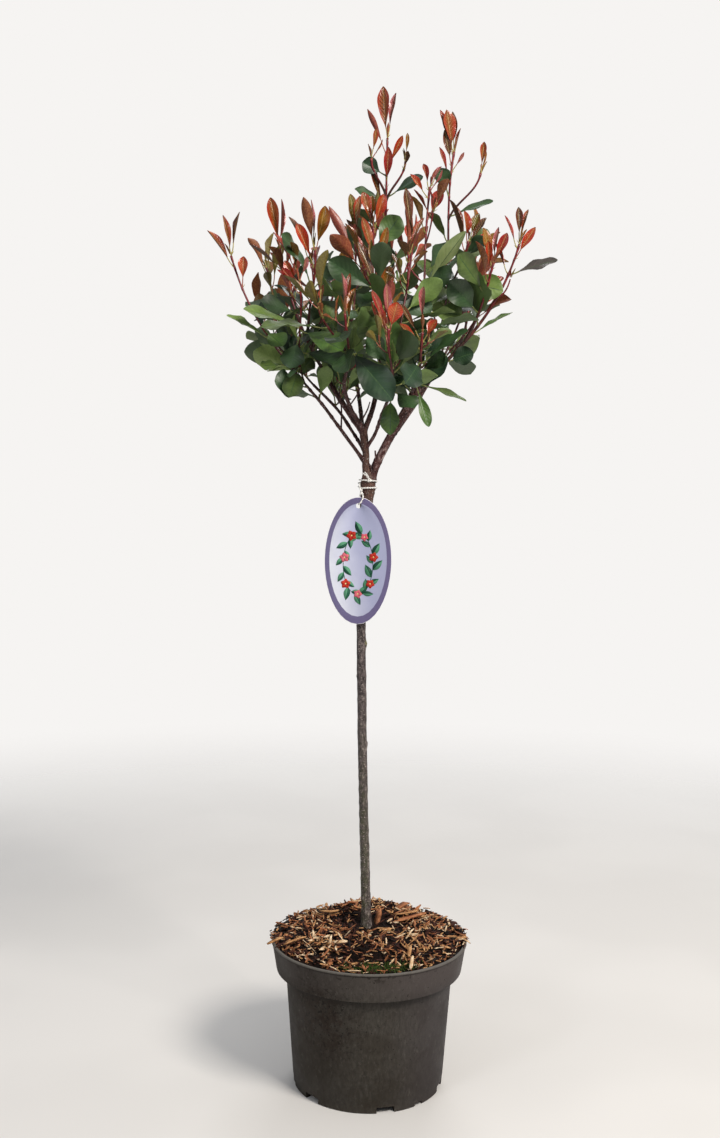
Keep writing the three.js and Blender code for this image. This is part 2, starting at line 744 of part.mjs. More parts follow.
// The strand leaves the upper loop, passes through the tag's hole from the front and comes up behind the tag.
function stringBody() {
  const [x, back] = TAG.centre;
  const front = back - TAG.thick;
  const hole = TAG.centre[2] + TAG.height / 2 - TAG.holeBelowTop;
  const top = TAG.centre[2] + TAG.height / 2;
  const clear = STRING.radius + GAP;
  const bend = hole + TAG.hole - clear;
  const strand = [
    [x + 0.4, front + 3.8, top + 7],
    [x, front - 0.6, top + 2],
    [x, front - clear - 0.2, top - 1],
    [x, front - clear - 0.2, bend + 2],
    [x, front - clear + 0.4, bend + 0.4],
    [x, (front + back) / 2, bend - 0.2],
    [x, back + clear - 0.4, bend + 0.4],
    [x, back + clear + 0.2, bend + 2],
    [x + 0.3, back + clear + 0.2, top - 1],
    [x + 2.8, back + 3.9, top + 6],
  ];
  const path = [...stringLoop(STRING.upper), ...strand, ...stringLoop(STRING.lower)].map(vec);
  const curve = new THREE.CatmullRomCurve3(path, false, "catmullrom");
  const tube = limb(curve, () => STRING.radius, STRING.sides, path.length - 1);
  const knot = solidOf(new THREE.IcosahedronGeometry(STRING.knot, 0).translate(...path[0]));
  return fuse([tube, knot]);
}

// The assembly

const root = new THREE.Group();

function add(name, geometry, look) {
  const mesh = new THREE.Mesh(geometry, new THREE.MeshStandardMaterial({ metalness: 0, ...COLOURS[look] }));
  mesh.name = name;
  root.add(mesh);
}

const boughs = boughBodies();
add("pot", geometryOf(pot()), "pot");
add("compost", geometryOf(compost()), "compost");
add("trunk", geometryOf(trunk()), "bark");
for (const [name, body] of boughs) add("bough_" + name, geometryOf(body), "bark");
for (const [name, body] of foliage(boughs)) add("foliage_" + name, geometryOf(body), "foliage");
add("tag", tag(), "tag");
add("tag_string", geometryOf(stringBody()), "string");

export default root;
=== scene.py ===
"""The looks of a potted little red robin photinia, grown as a small standard in a round nursery pot.

Sizes are in millimetres, as in the part's source, and each mesh is scaled to metres when it is made.
+Z is up, the origin is the middle of the pot's underside, and -Y is the front.
"""
import math
import random

import bmesh
import bpy
import numpy as np
from mathutils import Matrix, Vector, noise

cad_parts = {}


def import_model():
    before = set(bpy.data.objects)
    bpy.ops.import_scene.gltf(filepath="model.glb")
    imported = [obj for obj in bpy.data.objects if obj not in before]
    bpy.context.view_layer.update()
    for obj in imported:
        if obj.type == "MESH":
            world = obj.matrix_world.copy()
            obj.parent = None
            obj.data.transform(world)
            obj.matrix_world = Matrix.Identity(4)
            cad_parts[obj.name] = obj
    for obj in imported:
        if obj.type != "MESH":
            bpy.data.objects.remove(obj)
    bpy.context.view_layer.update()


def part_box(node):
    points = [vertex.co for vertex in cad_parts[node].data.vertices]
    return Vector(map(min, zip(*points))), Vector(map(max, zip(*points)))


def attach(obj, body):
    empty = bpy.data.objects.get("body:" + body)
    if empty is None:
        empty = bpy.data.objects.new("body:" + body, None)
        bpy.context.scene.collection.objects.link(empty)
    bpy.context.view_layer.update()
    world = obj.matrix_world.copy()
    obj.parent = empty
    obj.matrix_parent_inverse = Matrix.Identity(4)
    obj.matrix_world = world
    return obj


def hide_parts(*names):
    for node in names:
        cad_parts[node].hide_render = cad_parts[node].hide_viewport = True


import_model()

MM = 0.001
BODY = "root"
GAP = 0.3  # what the solids leave between neighbouring parts

# The pot and what fills it

RIM_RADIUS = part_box("pot")[1].x / MM
POT_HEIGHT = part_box("pot")[1].z / MM
POT = {
    "lip": 2,  # height of the lip round the rim
    "lip_reach": 1,
    "band_foot": 112,  # where the wide band under the rim begins
    "band_foot_radius": 89.5,
    "body_top_radius": 80.5,
    "base_radius": 72,
    "wall": 2,
    "floor": 3,
    "sides": 192,
    "edge": 0.5,  # how far a moulded edge is rounded off
    "sharp_from": 40,  # edges that turn more than this many degrees look sharp
}
# Rings of drain notches: how many, the first one's turn from the front in degrees, width, height and depth.
NOTCHES = [(6, 13, 17, 6, 8), (3, 41, 9, 3, 4)]
MULCH = {
    "shoulder": 152.5, "edge": 138.5, "slope_start": 40, "rings": 70, "first_ring": 0.15, "sides": 220,
    "chip_room": 1.2,  # how far the bed lies under the chips
    "heap": (9, (2, 50), (50, 34)),  # how high it is heaped up, where, and how far that reaches
    "lumps": ((1.8, 7, 0.05), (1.3, 3, 0.16), (0.8, 1, 0.5)),  # height, seed and scale of each
    "followed": 0.7,  # the share of the lumps that the chips and moss follow
}

# Limbs, as in the part's source

TRUNK = [
    (-3, 0, 150, 6.3), (-3, 0, 159, 5.1), (-4, 0, 190, 4.7), (-7, 0, 275, 4.5), (-9.5, 0, 373, 4.5),
    (-11, 0, 470, 4.5), (-8, 0, 545, 5.5), (-6, 0, 576, 7.2), (-5.8, 0, 585, 6.2), (-8, 0, 594, 3.3),
    (-8.2, 0, 607, 2.9), (-9.4, 0, 619, 3.4), (-11, 0, 631, 3.6),
]
BOUGHS = {
    "right_main": (
        [(-3, 0, 582), (1, 0, 596), (12, -1, 619), (24, -1, 641), (43, -2, 672), (62, -3, 691)], (3.7, 2.5),
    ),
    "left_main": ([(-11, 0, 629), (-20, -1, 640), (-37, -2, 665), (-50, -2, 687)], (3.7, 2.2)),
    "centre": ([(-11, 1, 627), (-2, 12, 652), (4, 26, 684), (6, 32, 716)], (3, 2)),
    "front_left": ([(-13, -1, 634), (-23, -12, 650), (-29, -27, 669), (-26, -42, 684)], (2.4, 1.7)),
    "back": ([(-11, 1, 624), (-13, 22, 645), (-16, 42, 668), (-20, 60, 692)], (2.6, 1.7)),
    "left_low": ([(-9, 0, 600), (-32, -15, 630), (-48, -25, 651), (-61, -32, 666)], (1.9, 1.4)),
    "left_back": ([(-9.5, 0, 611), (-21, 11, 629), (-36, 25, 651), (-60, 45, 676)], (1.9, 1.4)),
    "front": ([(-9, 0, 612), (0, -8, 626), (6, -24, 643), (12, -40, 658)], (1.9, 1.5)),
    "right_back": ([(14, 0, 621), (27, 20, 639), (42, 40, 661), (58, 58, 688)], (2.6, 1.6)),
    "right_inner": ([(28, -1, 648), (32, -9, 659), (36, -18, 670)], (2.3, 1.6)),
    "right_upper": ([(42, -2, 670), (49, 5, 686), (55, 10, 702), (60, 13, 720)], (2.4, 1.7)),
}

# What the bark adds to the solids' radii: lumps at the graft, and more above it on the trunk and one bough.
GRAFT = {"height": 578, "reach": 11, "lumps": 0.9, "scale": 0.42}
LEADER = {"from": 588, "over": 8, "bark": 0.45}
BOUGH_BARK = {"right_main": 0.95}
# Low swellings, by height and reach: the collar at a bough's foot, and the knuckles on boughs and stems.
SWELLINGS = {"collar": (0.7, 6), "bough": (0.35, 1.6), "stem": (0.3, 1.3)}
KNUCKLES = 4  # how many a bough has
# The sides and steps of each kind of tube. A bough's and a stem's steps go by their length.
TUBES = {
    "trunk": (40, 420), "twiglet": (12, 24), "petiole": (6, 5), "stipule": (4, 3),
    "bough": (22, 0.9), "stem": (9, 1.8),
}

# Dead stubs and thin leafless twigs among the boughs: foot, tip, and the radius at each.
TWIGLETS = [
    ((-1, -4, 594), (0.5, -6, 611), 1.3, 0.8),
    ((-4, 0, 591), (-5.5, -2, 599), 1.2, 0.9),
    ((-31.5, -14.6, 631), (-34, -18, 668), 0.9, 0.6),
    ((14, -1, 622), (9, -4, 634), 1.0, 0.7),
    ((-12, -3, 640), (-5, -12, 656), 0.9, 0.6),
    ((44, -3, 672), (60, -8, 683), 0.9, 0.5),
    ((-24, -13, 652), (-14, -22, 668), 0.8, 0.5),
]
# Buds and leaf scars that stand out from the trunk: height, turn from the right in degrees, and size.
KNOBS = [
    (428, -8, 1.6), (424, -20, 0.9), (330, 2, 1.3), (362, -60, 0.8), (350, -75, 0.7), (292, -120, 0.8),
    (258, -60, 0.9), (231, -10, 0.8), (205, -95, 0.7), (178, -140, 0.9), (556, -50, 0.9), (520, -160, 0.8),
    (396, 170, 0.6), (300, 150, 0.8), (470, 95, 0.9), (240, 100, 1.0), (362, 60, 0.8), (530, 60, 0.9),
]
KNOB = {"height": 1.9, "turn": 0.36}  # how far a knob reaches along the trunk, and round it in radians

# Leaves and shoots, as in the part's source

# spread is a leaf's angle from its stem, and opening scales it from the lowest leaf to the highest.
# curl is how far a blade bends back, roll how far it turns on its rib either way, and span the part
# of the shoot that carries such leaves.
LEAVES = {
    "old": {
        "petiole": 8, "length": 40, "width": 23,
        "spread": 52, "opening": (1.15, 0.8), "curl": 20, "roll": 45, "span": (0.08, 0.64),
    },
    "young": {
        "petiole": 6, "length": 34, "width": 17,
        "spread": 24, "opening": (1.9, 0.6), "curl": 9, "roll": 30, "span": (0.78, 0.99),
    },
}
SIZE_SPREAD = 0.28  # a leaf's size varies by this share of the mean, up and down
TURN = 137.5  # degrees round the stem from one leaf to the next
TRY_TURN = 47  # degrees to the next place, where a leaf has no room
TRIES = 7
CLEAR = (5, 2.6)  # least distance between the sample points of two masses, and within one mass
SAMPLES = ((0.1, 0.28, 0.46, 0.64, 0.82, 0.97), (-1, 0, 1))  # their places along a blade and across it
STEM_SAMPLES = np.linspace(0, 1, 33)
SHOOT = {"tip_radius": 1.2, "side_share": 0.8, "set_off": 0.36, "rise": 0.4, "lean": 0.0022}
TWIG = {"radii": (1.1, 0.9), "span": (0.42, 0.84), "length": (24, 40)}

# What the solids leave out: leafy spurs low on each shoot and along the boughs, and twigs under the tips.
FINER_CLEAR = (3, 1.7)
FINER_SAMPLES = (np.linspace(0.05, 0.97, 11), (-1, -0.5, 0, 0.5, 1))
FINER = {
    "spur": {
        "span": (0.06, 0.52), "every": 15, "length": (4, 13), "old": 2, "young": 0, "size": 0.76, "seed": 41,
    },
    "side": {
        "span": (0.6, 0.86), "every": 80, "length": (12, 20), "old": 0, "young": 2, "size": 0.5, "seed": 31,
    },
    "bough": {
        "span": (0.5, 0.98), "every": 11, "length": (5, 15), "old": 2, "young": 0, "size": 0.85, "seed": 51,
    },
}
FINER_RADII = (0.8, 0.55)
# The crown is open at its top and right, where none of them grow. It is bare round the fork and low at both
# sides: nothing grows by the rule further out than a side's first number and lower than its second.
OPEN = {
    "above": 765, "right_of": 52, "below": 660,
    "sides": [(95, 745), (118, 830), (-100, 705), (-113, 790)],
}

# The finer shape of each kind of blade. A pair is the range from leaf to leaf. start is the share of the
# length that the bare stalk takes, and slim the share of the solid's width. skew moves the widest place
# towards the tip, and blunt rounds both ends. fold is how far each half rises from the rib, in degrees, and
# wave how far the margin strays.
BLADES = {
    "old": {
        "start": 0.04, "slim": (0.88, 1.06), "skew": (1.15, 1.75), "blunt": 0.66,
        "fold": (4, 20), "wave": 0.08, "thick": 0.34, "rib": 0.45, "stalk": 0.75,
    },
    "young": {
        "start": 0.16, "slim": (0.6, 0.9), "skew": (1.0, 1.6), "blunt": 0.76,
        "fold": (12, 58), "wave": 0.05, "thick": 0.28, "rib": 0.3, "stalk": 0.55,
    },
}
RIB_GROOVE = 0.18  # how far the upper face sinks at the rib
BLADE_WAVES = (1.1, 2.4)  # waves along a margin
BLADE_TWIST = 44  # the range of the tip's twist, in degrees
# The leaves furled at a tip. width is a share of the length, and sunk how far below the tip they start.
FURLED = {
    "spread": (6, 14), "length": (9, 17), "width": 0.28,
    "petiole": 1, "slim": 0.8, "curl": 0.12, "sunk": 0.8,
}
# The stipules. along is how far from the stem they start, and way their direction: along the leaf, aside and
# out of its face.
STIPULE = {"along": 1.2, "way": (0.9, 0.55, -0.2), "length": (2.2, 4.8), "bow": 0.35, "radius": 0.4}
BLADE_ROWS = 14
UPPER_COLUMNS = (-1, -0.66, -0.33, -0.035, 0.035, 0.33, 0.66, 1)
UNDER_COLUMNS = (-0.66, -0.33, 0, 0.33, 0.66)

# The tints that sprays are dealt. A tint that is named twice is twice as common.
TINTS = {
    "old": ["deep", "deep", "deep", "dark", "moss", "moss", "mid", "light"],
    "young": ["copper", "copper", "amber", "amber", "olive", "scarlet", "crimson", "bronze"],
}


def shoot(tip, old, young, twigs, at=1, size=1, shown=()):
    """One shoot of a mass: where its stem ends and what it carries. at is its place on the first shoot."""
    return {"tip": tip, "old": old, "young": young, "twigs": twigs, "at": at, "size": size, "shown": shown}


def seen(at, tip, wide, face=(0, -0.5, 1), kind="old", tint=None):
    """A leaf of the crown's outline, given by its place on the shoot, its tip and its width."""
    return {"at": at, "tip": tip, "wide": wide, "face": face, "kind": kind, "tint": tint}


MASSES = {
    "left_low": [
        shoot((-134, -25, 787), 2, 4, 0, shown=[
            seen(0.01, (-91, -50, 672), 24, (0, -1, 0.4), tint="dark"),
            seen(0.2, (-105, -45, 686), 17, tint="light"),
            seen(0.42, (-135, -45, 732), 14, tint="light"),
            seen(0.5, (-84, -55, 703), 20, (0.3, -1, 0.3), tint="mid"),
            seen(0.93, (-155, -25, 811), 12, kind="young", tint="copper"),
        ]),
        shoot((-70, -45, 760), 1, 4, 0, at=0.04, shown=[
            seen(0.58, (-119, -55, 737), 21, tint="light"),
            seen(0.5, (-78, -52, 683), 23, (-0.2, -1, 0.2), tint="dark"),
            seen(0.56, (-30, -85, 698), 25, (0.2, -1, 0.7), tint="mid"),
            seen(0.34, (-24, -68, 686), 23, (0, -0.8, 1), tint="dark"),
        ]),
    ],
    "left_main": [
        shoot((-91, 3, 799), 4, 4, 1, shown=[
            seen(0.84, (-118, -5, 803), 11, kind="young", tint="bronze"),
        ]),
        shoot((-58, -13, 798), 3, 5, 1, at=0.2, shown=[
            seen(0.72, (-41, -20, 794), 14, tint="dark"),
            seen(0.6, (-38, -5, 784), 19, (0, -1, 0.2), tint="dark"),
        ]),
        shoot((-40, 24, 776), 4, 4, 0, at=0.14),
    ],
    "front_left": [
        shoot((-28, -88, 727), 1, 3, 0, shown=[
            seen(0.42, (14, -105, 653), 29, (0, -1, 0.6), tint="deep"),
        ]),
        shoot((-20, -26, 801), 4, 4, 1, at=0.08),
        shoot((-52, -74, 738), 3, 4, 0, at=0.2),
    ],
    "front": [
        shoot((10, -98, 713), 1, 5, 1, shown=[
            seen(0.08, (13, -52, 624), 19, (-0.4, -1, 0), tint="mid"),
            seen(0.14, (34, -72, 648), 20, (0, -1, 0.8), tint="dark"),
            seen(0.5, (-8, -94, 706), 20, (0, -1, 0.3), tint="dark"),
        ]),
        shoot((-4, -42, 811), 4, 6, 1, at=0.16, shown=[
            seen(0.62, (-43, -60, 778), 24, (-0.6, -1, 0.3), tint="dark"),
            seen(0.86, (20, -40, 822), 23, (0, -1, 0.2), tint="mid"),
        ]),
        shoot((32, -52, 800), 4, 4, 1, at=0.3),
    ],
    "centre": [
        shoot((9, 10, 904), 3, 4, 0, size=0.8, shown=[
            seen(0.84, (-14, 2, 880), 18, (0, -1, 0.2), tint="deep"),
            seen(0.72, (-21, 10, 858), 13, (0, -1, 0.7), tint="dark"),
            seen(0.74, (42, 2, 868), 14, (0.1, -1, 0.5), tint="deep"),
            seen(0.98, (3, 6, 951), 13, (-0.8, -1, 0), kind="young", tint="copper"),
        ]),
        shoot((26, 7, 882), 0, 2, 0, at=0.72, size=0.6),
        shoot((-6, 5, 884), 0, 2, 0, at=0.74, size=0.6),
        shoot((-14, 78, 820), 4, 5, 1, at=0.1),
        shoot((34, 76, 812), 4, 5, 1, at=0.16),
    ],
    "right_inner": [
        shoot((40, -82, 712), 2, 4, 0, shown=[
            seen(0.05, (50, -28, 633), 12, (0, -1, 0.8), tint="mid"),
            seen(0.06, (84, -34, 658), 15, (0, -0.4, 1), tint="moss"),
            seen(0.5, (80, -68, 718), 21, (0, -0.7, 1), tint="dark"),
            seen(0.25, (62, -52, 697), 18, (0.3, -1, 0.2), tint="dark"),
        ]),
        shoot((48, -20, 852), 4, 6, 2, at=0.08, shown=[
            seen(0.5, (77, -56, 806), 18, (-0.6, -0.8, 0.4), tint="pale"),
            seen(0.42, (65, -50, 776), 16, (-0.4, -1, 0.2), tint="dark"),
        ]),
    ],
    "right_main": [
        shoot((133, -5, 804), 1, 5, 1, shown=[
            seen(0.03, (91, -12, 703), 19, (0, -1, 0.3), tint="deep"),
            seen(0.3, (128, 2, 744), 14, (0, -0.4, 1), tint="mid"),
            seen(0.8, (168, -10, 791), 17, (-0.2, -0.8, 0.8), tint="dusky"),
        ]),
        shoot((106, -32, 781), 1, 5, 0, at=0.22, shown=[
            seen(0.66, (73, -58, 784), 22, (-0.2, -1, 0.4), tint="moss"),
            seen(0.4, (66, -40, 764), 25, (0, -1, 0.2), tint="dark"),
        ]),
        shoot((92, 34, 762), 3, 4, 0, at=0.12),
    ],
    "right_upper": [
        shoot((72, 14, 893), 3, 5, 0, size=0.85, shown=[
            seen(0.78, (59, 2, 875), 16, (0, -1, 0.2), tint="dark"),
            seen(0.68, (109, 10, 849), 14, tint="dark"),
            seen(0.98, (65, 8, 931), 14, kind="young", tint="copper"),
        ]),
        shoot((97, 8, 872), 0, 1, 0, at=0.66, size=0.7),
        shoot((84, -22, 803), 3, 5, 0, at=0.2, shown=[
            seen(0.72, (97, -30, 806), 14, (0, -1, 0.3), tint="dark"),
        ]),
        shoot((98, 38, 806), 4, 5, 0, at=0.12),
    ],
    "right_back": [
        shoot((98, 88, 792), 4, 5, 1),
        shoot((60, 114, 778), 4, 5, 0, at=0.16),
        shoot((106, 58, 762), 3, 4, 0, at=0.08),
    ],
    "back": [
        shoot((-14, 116, 802), 4, 5, 1),
        shoot((-58, 100, 786), 4, 5, 0, at=0.18),
        shoot((24, 124, 756), 4, 4, 0, at=0.12),
    ],
    "left_back": [
        shoot((-108, 62, 792), 4, 5, 1),
        shoot((-88, 98, 752), 4, 5, 0, at=0.16),
        shoot((-112, 36, 744), 3, 4, 0, at=0.08),
    ],
}

# Young leaves that stand out on the front shoots: place on the shoot, tip, width, tint, and how far the
# upper face is turned from the front, in degrees. Such a shoot grows that many fewer by the rule.
SPRAYS = {
    ("left_low", 0): [
        (0.98, (-141, -27, 824), 9, "copper", 25), (1, (-128, -23, 828), 9, "bronze", -50),
        (0.8, (-122, -30, 786), 11, "scarlet", 10),
    ],
    ("left_low", 1): [
        (0.93, (-86, -48, 773), 9, "crimson", 20), (0.97, (-84, -44, 780), 9, "scarlet", -20),
        (1, (-63, -46, 783), 7, "blush", 40), (0.9, (-89, -52, 771), 6, "crimson", 60),
    ],
    ("left_main", 0): [(0.97, (-100, -2, 846), 16, "copper", 0), (1, (-88, 5, 846), 9, "crimson", 75)],
    ("left_main", 1): [
        (0.95, (-68, -15, 843), 11, "copper", 170), (1, (-60, -8, 843), 6, "blush", 60),
        (0.93, (-48, -18, 835), 18, "amber", 10), (0.8, (-74, -18, 819), 13, "scarlet", 10),
    ],
    ("front_left", 0): [(0.97, (-30, -89, 762), 8, "blush", 50), (1, (-25, -87, 762), 8, "copper", -50)],
    ("front_left", 1): [
        (0.97, (-24, -28, 844), 13, "olive", 30), (0.99, (-17, -25, 843), 11, "copper", -30),
        (0.9, (-44, -28, 832), 9, "crimson", 170), (0.78, (-28, -32, 794), 10, "crimson", 0),
    ],
    ("front", 0): [
        (0.96, (-4, -100, 746), 7, "crimson", 40), (1, (8, -98, 752), 8, "blush", 10),
        (0.93, (17, -103, 735), 14, "scarlet", 0), (0.9, (-6, -96, 736), 5, "scarlet", -50),
    ],
    ("front", 1): [
        (0.97, (-13, -41, 843), 11, "copper", 20), (0.99, (-6, -39, 840), 10, "amber", -30),
        (1, (0, -42, 843), 6, "olive", 160), (0.96, (5, -46, 840), 14, "scarlet", 0),
        (0.82, (-13, -47, 819), 10, "copper", 30), (0.62, (-17, -48, 797), 11, "bronze", 20),
        (0.7, (-6, -50, 798), 9, "olive", -30), (0.75, (9, -44, 811), 9, "amber", 10),
        (0.52, (11, -48, 776), 14, "amber", -10), (0.5, (15, -44, 777), 11, "bronze", -50),
    ],
    ("front", 2): [
        (0.97, (25, -53, 844), 10, "bronze", 10), (1, (35, -50, 821), 4, "crimson", 70),
        (0.7, (13, -56, 786), 6, "bronze", 40),
    ],
    ("centre", 0): [
        (1, (16, 8, 946), 9, "blush", -20), (0.93, (-9, 10, 931), 6, "crimson", 140),
        (0.86, (23, 6, 906), 9, "scarlet", 0), (0.78, (10, 2, 894), 10, "crimson", 0),
        (0.62, (-7, 4, 885), 7, "bronze", 20),
    ],
    ("centre", 1): [(0.98, (28, 5, 908), 5, "amber", 20)],
    ("centre", 2): [(0.98, (-1, 4, 912), 6, "copper", 30), (0.95, (5, 4, 901), 3, "copper", 60)],
    ("right_inner", 0): [
        (1, (40, -83, 752), 9, "blush", -15), (0.9, (21, -84, 737), 6, "bronze", 20),
        (0.88, (52, -86, 723), 9, "scarlet", -10),
    ],
    ("right_inner", 1): [
        (0.98, (42, -22, 873), 9, "crimson", 20), (1, (58, -18, 872), 7, "blush", -40),
        (0.95, (30, -24, 863), 8, "scarlet", 10), (0.97, (60, -20, 868), 4, "blush", 60),
        (0.85, (59, -27, 848), 14, "crimson", 0),
    ],
    ("right_upper", 0): [
        (0.99, (59, 12, 932), 9, "crimson", 20), (1, (70, 14, 931), 9, "bronze", -10),
        (0.93, (63, 10, 913), 8, "bronze", 10), (0.95, (77, 15, 916), 5, "copper", -60),
        (0.85, (59, 10, 897), 6, "crimson", 40), (0.9, (82, 14, 893), 3.5, "blush", 30),
    ],
    ("right_upper", 1): [(0.97, (100, 6, 901), 8, "copper", 10), (1, (103, 10, 893), 4, "amber", 70)],
    ("right_upper", 2): [
        (0.95, (80, -26, 830), 12, "scarlet", 20), (0.98, (93, -22, 829), 10, "olive", -20),
    ],
    ("right_main", 0): [
        (0.97, (120, -6, 831), 7, "crimson", 50), (1, (132, -4, 839), 9, "bronze", 0),
        (0.99, (140, -4, 837), 7, "copper", -50), (0.9, (147, -8, 820), 9, "scarlet", -20),
    ],
    ("right_main", 1): [
        (0.96, (97, -36, 813), 11, "amber", 20), (1, (110, -30, 815), 7, "blush", -40),
        (0.93, (118, -34, 809), 12, "crimson", -10), (0.85, (101, -40, 800), 9, "scarlet", 10),
    ],
}

TAG = {
    "centre": (-14.5, -13.1, 507), "width": 63, "height": 120, "thick": 0.8,
    "hole": 2.5, "hole_below_top": 8, "sides": 120,
    "border": (4.4, 6.2, 7.4),  # the printed border's width at the sides, top and bottom
    "bow": 0.5,  # how far the card's sides bend back
    "bevel": (0.4, 0.1),  # how far the front edge is worn, across and down
}
STRING = {
    "radius": 0.8, "loop_axis": (-6.2, 0), "loop_radius": 8.6, "loop_points": 17, "steps": 300,
    "ply": 0.56,  # a ply's radius as a share of the string's
    "pitch": 0.6,  # how far the plies turn in one step, in radians
    # The first and last turn of each loop in degrees, and its heights there.
    "upper": (-70, 300, 583.5, 580), "lower": (-50, 285, 575.5, 577),
    "knot": (10, 583),  # its turn and height
    "ends": ((-6.5, -1.5, 6.5), (-4.5, -2.0, 7.5)),  # where the two ends stop, from the knot
}


# Vectors and curves

def vec(values):
    return np.array(values, float)


def unit(v):
    return v / np.linalg.norm(v)


def lerp(low, high, share):
    return low + (high - low) * share


def squared(v, direction):
    """A vector with its share along a unit direction taken out."""
    return unit(v - direction * np.dot(v, direction))


def out_of(tangent, turn):
    """The unit vector that leaves a stem at a turn round it."""
    e1 = squared(vec((1, 0, 0)), tangent)
    e2 = np.cross(tangent, e1)
    return e1 * math.cos(turn) + e2 * math.sin(turn)


def turns_of(count):
    """Turns that go evenly once round, in radians."""
    return [2 * math.pi * k / count for k in range(count)]


def turned(v, axis, angle):
    """A vector turned about a unit axis."""
    cos, sin = math.cos(angle), math.sin(angle)
    return v * cos + np.cross(axis, v) * sin + axis * np.dot(axis, v) * (1 - cos)


def chance(*keys):
    """A number from 0 to 1 that depends only on the whole-number keys, the same as in the part's source."""
    mask = 0xFFFFFFFF
    h = 2166136261
    for key in keys:
        h = ((h ^ key) * 16777619) & mask
        h = ((h ^ (h >> 13)) * 1540483477) & mask
        h = (h ^ (h >> 15)) & mask
    return h / 4294967296


class Curve:
    """A curve that point(u) follows, with u from 0 to 1."""

    def tangent(self, u):
        step = 1e-4
        return unit(self.point(min(1, u + step)) - self.point(max(0, u - step)))


class Spline(Curve):
    """A Catmull-Rom curve through its points."""

    def __init__(self, points):
        points = [vec(p) for p in points]
        self.points = [2 * points[0] - points[1], *points, 2 * points[-1] - points[-2]]

    def point(self, u):
        spans = len(self.points) - 3
        row = min(int(u * spans), spans - 1)
        t = u * spans - row
        p0, p1, p2, p3 = self.points[row:row + 4]
        m1, m2 = (p2 - p0) / 2, (p3 - p1) / 2
        return (2 * p1 - 2 * p2 + m1 + m2) * t ** 3 + (3 * p2 - 3 * p1 - 2 * m1 - m2) * t ** 2 + m1 * t + p1


class Bezier(Curve):
    """A cubic Bezier curve."""

    def __init__(self, *points):
        self.points = points

    def point(self, u):
        p0, p1, p2, p3 = self.points
        v = 1 - u
        return p0 * v ** 3 + p1 * (3 * v * v * u) + p2 * (3 * v * u * u) + p3 * u ** 3


# Meshes

def new_object(name, data):
    made = bpy.data.objects.new(name, data)
    bpy.context.collection.objects.link(made)
    return made


class Pile:
    """Many small shapes that become one mesh, with a UV for each point and a look for each face."""

    def __init__(self):
        self.points = []
        self.faces = []
        self.uvs = []
        self.looks = []
        self.creased = []
        self.count = 0

    def add(self, points, faces, looks=0, uvs=None, creased=()):
        """looks is one number or one for each face. Edges between two creased points stay sharp."""
        points = np.asarray(points, float).reshape(-1, 3)
        self.points.append(points)
        self.faces.extend(tuple(self.count + i for i in face) for face in faces)
        self.uvs.append(np.zeros((len(points), 2)) if uvs is None else np.asarray(uvs, float))
        self.looks.extend([looks] * len(faces) if isinstance(looks, int) else looks)
        self.creased.extend(self.count + i for i in creased)
        self.count += len(points)

    def build(self, name, materials, slot, *replaced):
        """The mesh as a piece that rides on the plant."""
        mesh = bpy.data.meshes.new(name)
        mesh.from_pydata((np.concatenate(self.points) * MM).tolist(), [], self.faces)
        corners = np.zeros(len(mesh.loops), np.int32)
        mesh.loops.foreach_get("vertex_index", corners)
        uvs = np.concatenate(self.uvs)[corners]
        mesh.uv_layers.new(name="UVMap").data.foreach_set("uv", uvs.astype(np.float32).ravel())
        mesh.polygons.foreach_set("material_index", np.array(self.looks, np.int32))
        mesh.polygons.foreach_set("use_smooth", [True] * len(mesh.polygons))
        if self.creased:
            flags = np.zeros(self.count, bool)
            flags[self.creased] = True
            ends = np.zeros(len(mesh.edges) * 2, np.int32)
            mesh.edges.foreach_get("vertices", ends)
            mesh.edges.foreach_set("use_edge_sharp", flags[ends.reshape(-1, 2)].all(axis=1))
        mesh.update()
        for material in materials:
            mesh.materials.append(material)
        made = new_object(name, mesh)
        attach(made, BODY)
        if replaced:
            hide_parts(*replaced)
        print(name, sum(len(face) - 2 for face in self.faces), "triangles")
        return made


def grid_faces(rows, columns, closed=False):
    """Quads over a grid of points, row by row. A closed grid joins each row's ends."""
    faces = []
    for r in range(rows - 1):
        for c in range(columns if closed else columns - 1):
            a = r * columns + c
            b = r * columns + (c + 1) % columns
            faces.append((a, b, b + columns, a + columns))
    return faces


def disc(rings, sides, reach, first, height):
    """The points and faces of a disc. first is the place of the innermost ring, in steps between rings."""
    points = []
    for ring in range(rings):
        r = reach * (ring + first) / (rings - 1 + first)
        for turn in turns_of(sides):
            x, y = r * math.cos(turn), r * math.sin(turn)
            points.append((x, y, height(x, y)))
    return points, [*grid_faces(rings, sides, closed=True), tuple(range(sides - 1, -1, -1))]


def tube(curve, radius, sides, steps, relief=None):
    """Rings of points along a curve. relief(point, turn) adds to the radius."""
    rings = []
    e1 = vec((1, 0, 0))
    for i in range(steps + 1):
        u = i / steps
        centre = curve.point(u)
        tangent = curve.tangent(u)
        e1 = squared(e1, tangent)
        e2 = np.cross(tangent, e1)
        for turn in turns_of(sides):
            out = e1 * math.cos(turn) + e2 * math.sin(turn)
            reach = radius(u)
            if relief:
                reach += relief(centre + out * reach, turn)
            rings.append(centre + out * reach)
    return np.array(rings).reshape(steps + 1, sides, 3)


def add_tube(pile, rings, looks=0):
    """Adds rings as a closed tube. looks is one number or one for each ring."""
    count, sides = rings.shape[:2]
    faces = grid_faces(count, sides, closed=True)
    faces.append(tuple(range(sides - 1, -1, -1)))
    faces.append(tuple(range((count - 1) * sides, count * sides)))
    if not isinstance(looks, int):
        looks = [looks[i // sides] for i in range((count - 1) * sides)] + [looks[0], looks[-1]]
    pile.add(rings, faces, looks)


# Materials

